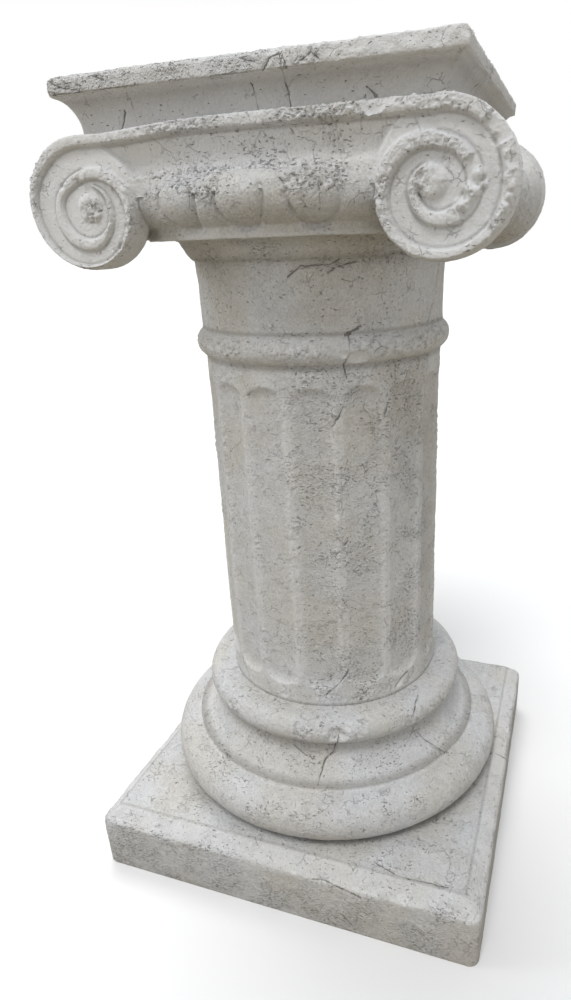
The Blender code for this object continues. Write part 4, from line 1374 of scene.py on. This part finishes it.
    # The skin's unevenness, coarser where it is pocked, with the holes and cracks sunk into it
    uneven = add(tree, MATH, TIMES_PLUS, {0: blotch, 1: 1.2, 2: skin})
    depth = add(tree, MATH, TIMES_PLUS, {0: pocked, 1: 1.3, 2: 0.30})
    uneven = add(tree, MATH, TIMES, {0: uneven, 1: depth})
    sunk = add(tree, MATH, LARGER, {0: holes, 1: hairs})
    sunk = add(tree, MATH, LARGER, {0: sunk, 1: line})
    height = add(tree, MATH, TIMES_PLUS, {0: sunk, 1: -1.1, 2: uneven})
    bump = add(tree, "ShaderNodeBump", {}, {"Height": height, "Distance": DEEPEST_HOLE, "Strength": 1.0})
    shader = add(tree, "ShaderNodeBsdfPrincipled", {}, {
        "Base Color": body, "Roughness": 0.92, "IOR": 1.5, "Specular IOR Level": 0.25, "Normal": bump})
    add(tree, "ShaderNodeOutputMaterial", {}, {"Surface": shader})
    return material


def lay_floor(scene):
    """A wide floor of matt white paper, which a lamp lights but which throws no light back on the stone."""
    mesh = bpy.data.meshes.new("floor")
    bm = bmesh.new()
    bmesh.ops.create_grid(bm, x_segments=1, y_segments=1, size=60.0)
    bm.to_mesh(mesh)
    bm.free()
    floor = bpy.data.objects.new("floor", mesh)
    scene.collection.objects.link(floor)
    floor.visible_diffuse = False
    mesh.materials.append(white_paper(scene.column_tints))


def white_paper(tints):
    """Matt uncoated paper, rolled: an even white with no gloss, a little lighter far off."""
    paper = bpy.data.materials.new("matt_white_paper")
    paper.use_nodes = True
    tree = paper.node_tree
    shader = tree.nodes["Principled BSDF"]
    spot = add(tree, "ShaderNodeTexCoord", output="Object")
    reach = add(tree, VECTOR, {"operation": "LENGTH"}, {0: spot}, "Value")
    far = add(tree, RANGE, {}, {"Value": reach, "From Min": FLOOR_NEAR, "From Max": FLOOR_FAR})
    shade = add(tree, MIX, COLOUR, {
        SHARE: far, FIRST: linear(tints.floor), SECOND: linear(tints.far_floor)}, MIXED)
    tree.links.new(shade, shader.inputs["Base Color"])
    shader.inputs["Roughness"].default_value = 0.95
    return paper


def light_room(scene):
    """A white wall all round, a dimmer ceiling, and warm light from what the column stands on."""
    tints = scene.column_tints
    scene.world = bpy.data.worlds.new("studio")
    scene.world.use_nodes = True
    tree = scene.world.node_tree
    way = add(tree, "ShaderNodeTexCoord", output="Generated")
    height = add(tree, "ShaderNodeSeparateXYZ", {}, {0: way}, "Z")
    wall = add(tree, RANGE, EASED, {"Value": height, "From Min": -0.04, "From Max": -0.01})
    ceiling = add(tree, RANGE, EASED, {"Value": height, "From Min": 0.24, "From Max": 0.34})
    low = add(tree, MIX, COLOUR, {
        SHARE: wall, FIRST: linear(tints.room_ground), SECOND: linear(tints.room_walls)}, MIXED)
    whole = add(tree, MIX, COLOUR, {
        SHARE: ceiling, FIRST: low, SECOND: linear(tints.room_ceiling)}, MIXED)
    tree.links.new(whole, tree.nodes["Background"].inputs["Color"])


# How far out the floor begins to get lighter, and where it is at its lightest
FLOOR_NEAR, FLOOR_FAR = 0.5, 2.5

# Each lamp: name, kind, place, what it points at, power and its own settings. The key comes
# from the front and high up, so that its shadow hides behind the column.
LAMPS = (
    ("key", "SUN", (0.02, -0.56, 1.2), (0, 0, 0), 1.45, {"angle": math.radians(20.0)}),
    ("back", "SUN", (-0.26, 0.38, 1.2), (0, 0, 0), 1.05, {"angle": math.radians(24.0)}),
    ("softbox", "AREA", (-1.60, -0.70, 1.00), (0, 0, 0.5), 7.5, {"size": 0.6}),
    ("fill", "AREA", (2.20, -1.20, 0.80), (0, 0, 0.4), 5.0, {"size": 1.5}),
)

# The camera stands close by, at the height of the scrolls, and looks down
CAMERA_PLACE = (0.22632, -0.63025, 0.62279)
CAMERA_YAW, CAMERA_PITCH, CAMERA_ROLL = 0.35014, -0.40613, -0.03817
CAMERA_SENSOR, CAMERA_LENS = 36.0, 24.639
CAMERA_SHIFT = (-0.0412, 0.0284)


def hang_lamps(scene):
    """Two soft suns, and a softbox and a fill to the sides."""
    for name, kind, place, target, power, settings in LAMPS:
        light = bpy.data.lights.new(name, kind)
        light.energy = power
        for setting, value in settings.items():
            setattr(light, setting, value)
        lamp = bpy.data.objects.new(name, light)
        scene.collection.objects.link(lamp)
        lamp.location = place
        lamp.rotation_euler = (Vector(target) - lamp.location).to_track_quat("-Z", "Y").to_euler()


def set_camera(scene):
    """The camera, in the place and turn that were fitted to the square and round members."""
    lens = bpy.data.cameras.new("camera")
    lens.sensor_width, lens.lens = CAMERA_SENSOR, CAMERA_LENS
    lens.shift_x, lens.shift_y = CAMERA_SHIFT
    camera = bpy.data.objects.new("camera", lens)
    scene.collection.objects.link(camera)
    looking_down = Matrix.Rotation(math.pi / 2 + CAMERA_PITCH, 4, "X")
    turned = Matrix.Rotation(CAMERA_YAW, 4, "Z") @ looking_down @ Matrix.Rotation(CAMERA_ROLL, 4, "Z")
    camera.matrix_world = Matrix.Translation(CAMERA_PLACE) @ turned
    scene.camera = camera


class ColumnStage(bpy.types.Operator):
    """The pale floor, the studio light and the camera"""

    bl_idname = "column.stage"
    bl_label = "Stage"

    def execute(self, context):
        scene = context.scene
        lay_floor(scene)
        light_room(scene)
        hang_lamps(scene)
        set_camera(scene)
        scene.view_settings.view_transform = "Standard"
        return {"FINISHED"}


class ColumnPanel(bpy.types.Panel):
    """The column's sizes, wear and colours, and a button for each group of pieces"""

    bl_idname = "VIEW3D_PT_column"
    bl_label = "Stone column"
    bl_space_type = "VIEW_3D"
    bl_region_type = "UI"
    bl_category = "Column"

    def draw(self, context):
        for group in (context.scene.column_sizes, context.scene.column_wear, context.scene.column_tints):
            box = self.layout.box()
            for name in group.__annotations__:
                box.prop(group, name)
        for operator in OPERATORS:
            self.layout.operator(operator.bl_idname)


OPERATORS = (ColumnPlinth, ColumnBase, ColumnShaft, ColumnNeck, ColumnEchinus, ColumnFaces, ColumnBolsters,
             ColumnAbacus, ColumnStage)
CLASSES = (ColumnSizes, ColumnWear, ColumnTints) + OPERATORS + (ColumnPanel,)


def register():
    """Register the classes, and keep their settings on the scene."""
    for cls in CLASSES:
        bpy.utils.register_class(cls)
    bpy.types.Scene.column_sizes = PointerProperty(type=ColumnSizes)
    bpy.types.Scene.column_wear = PointerProperty(type=ColumnWear)
    bpy.types.Scene.column_tints = PointerProperty(type=ColumnTints)


def unregister():
    """Take the settings and the classes away again."""
    del bpy.types.Scene.column_sizes, bpy.types.Scene.column_wear, bpy.types.Scene.column_tints
    for cls in reversed(CLASSES):
        bpy.utils.unregister_class(cls)


def main():
    """Register the classes and build every piece."""
    register()
    for operator in OPERATORS:
        group, name = operator.bl_idname.split(".")
        getattr(getattr(bpy.ops, group), name)()


if __name__ == "__main__":
    main()
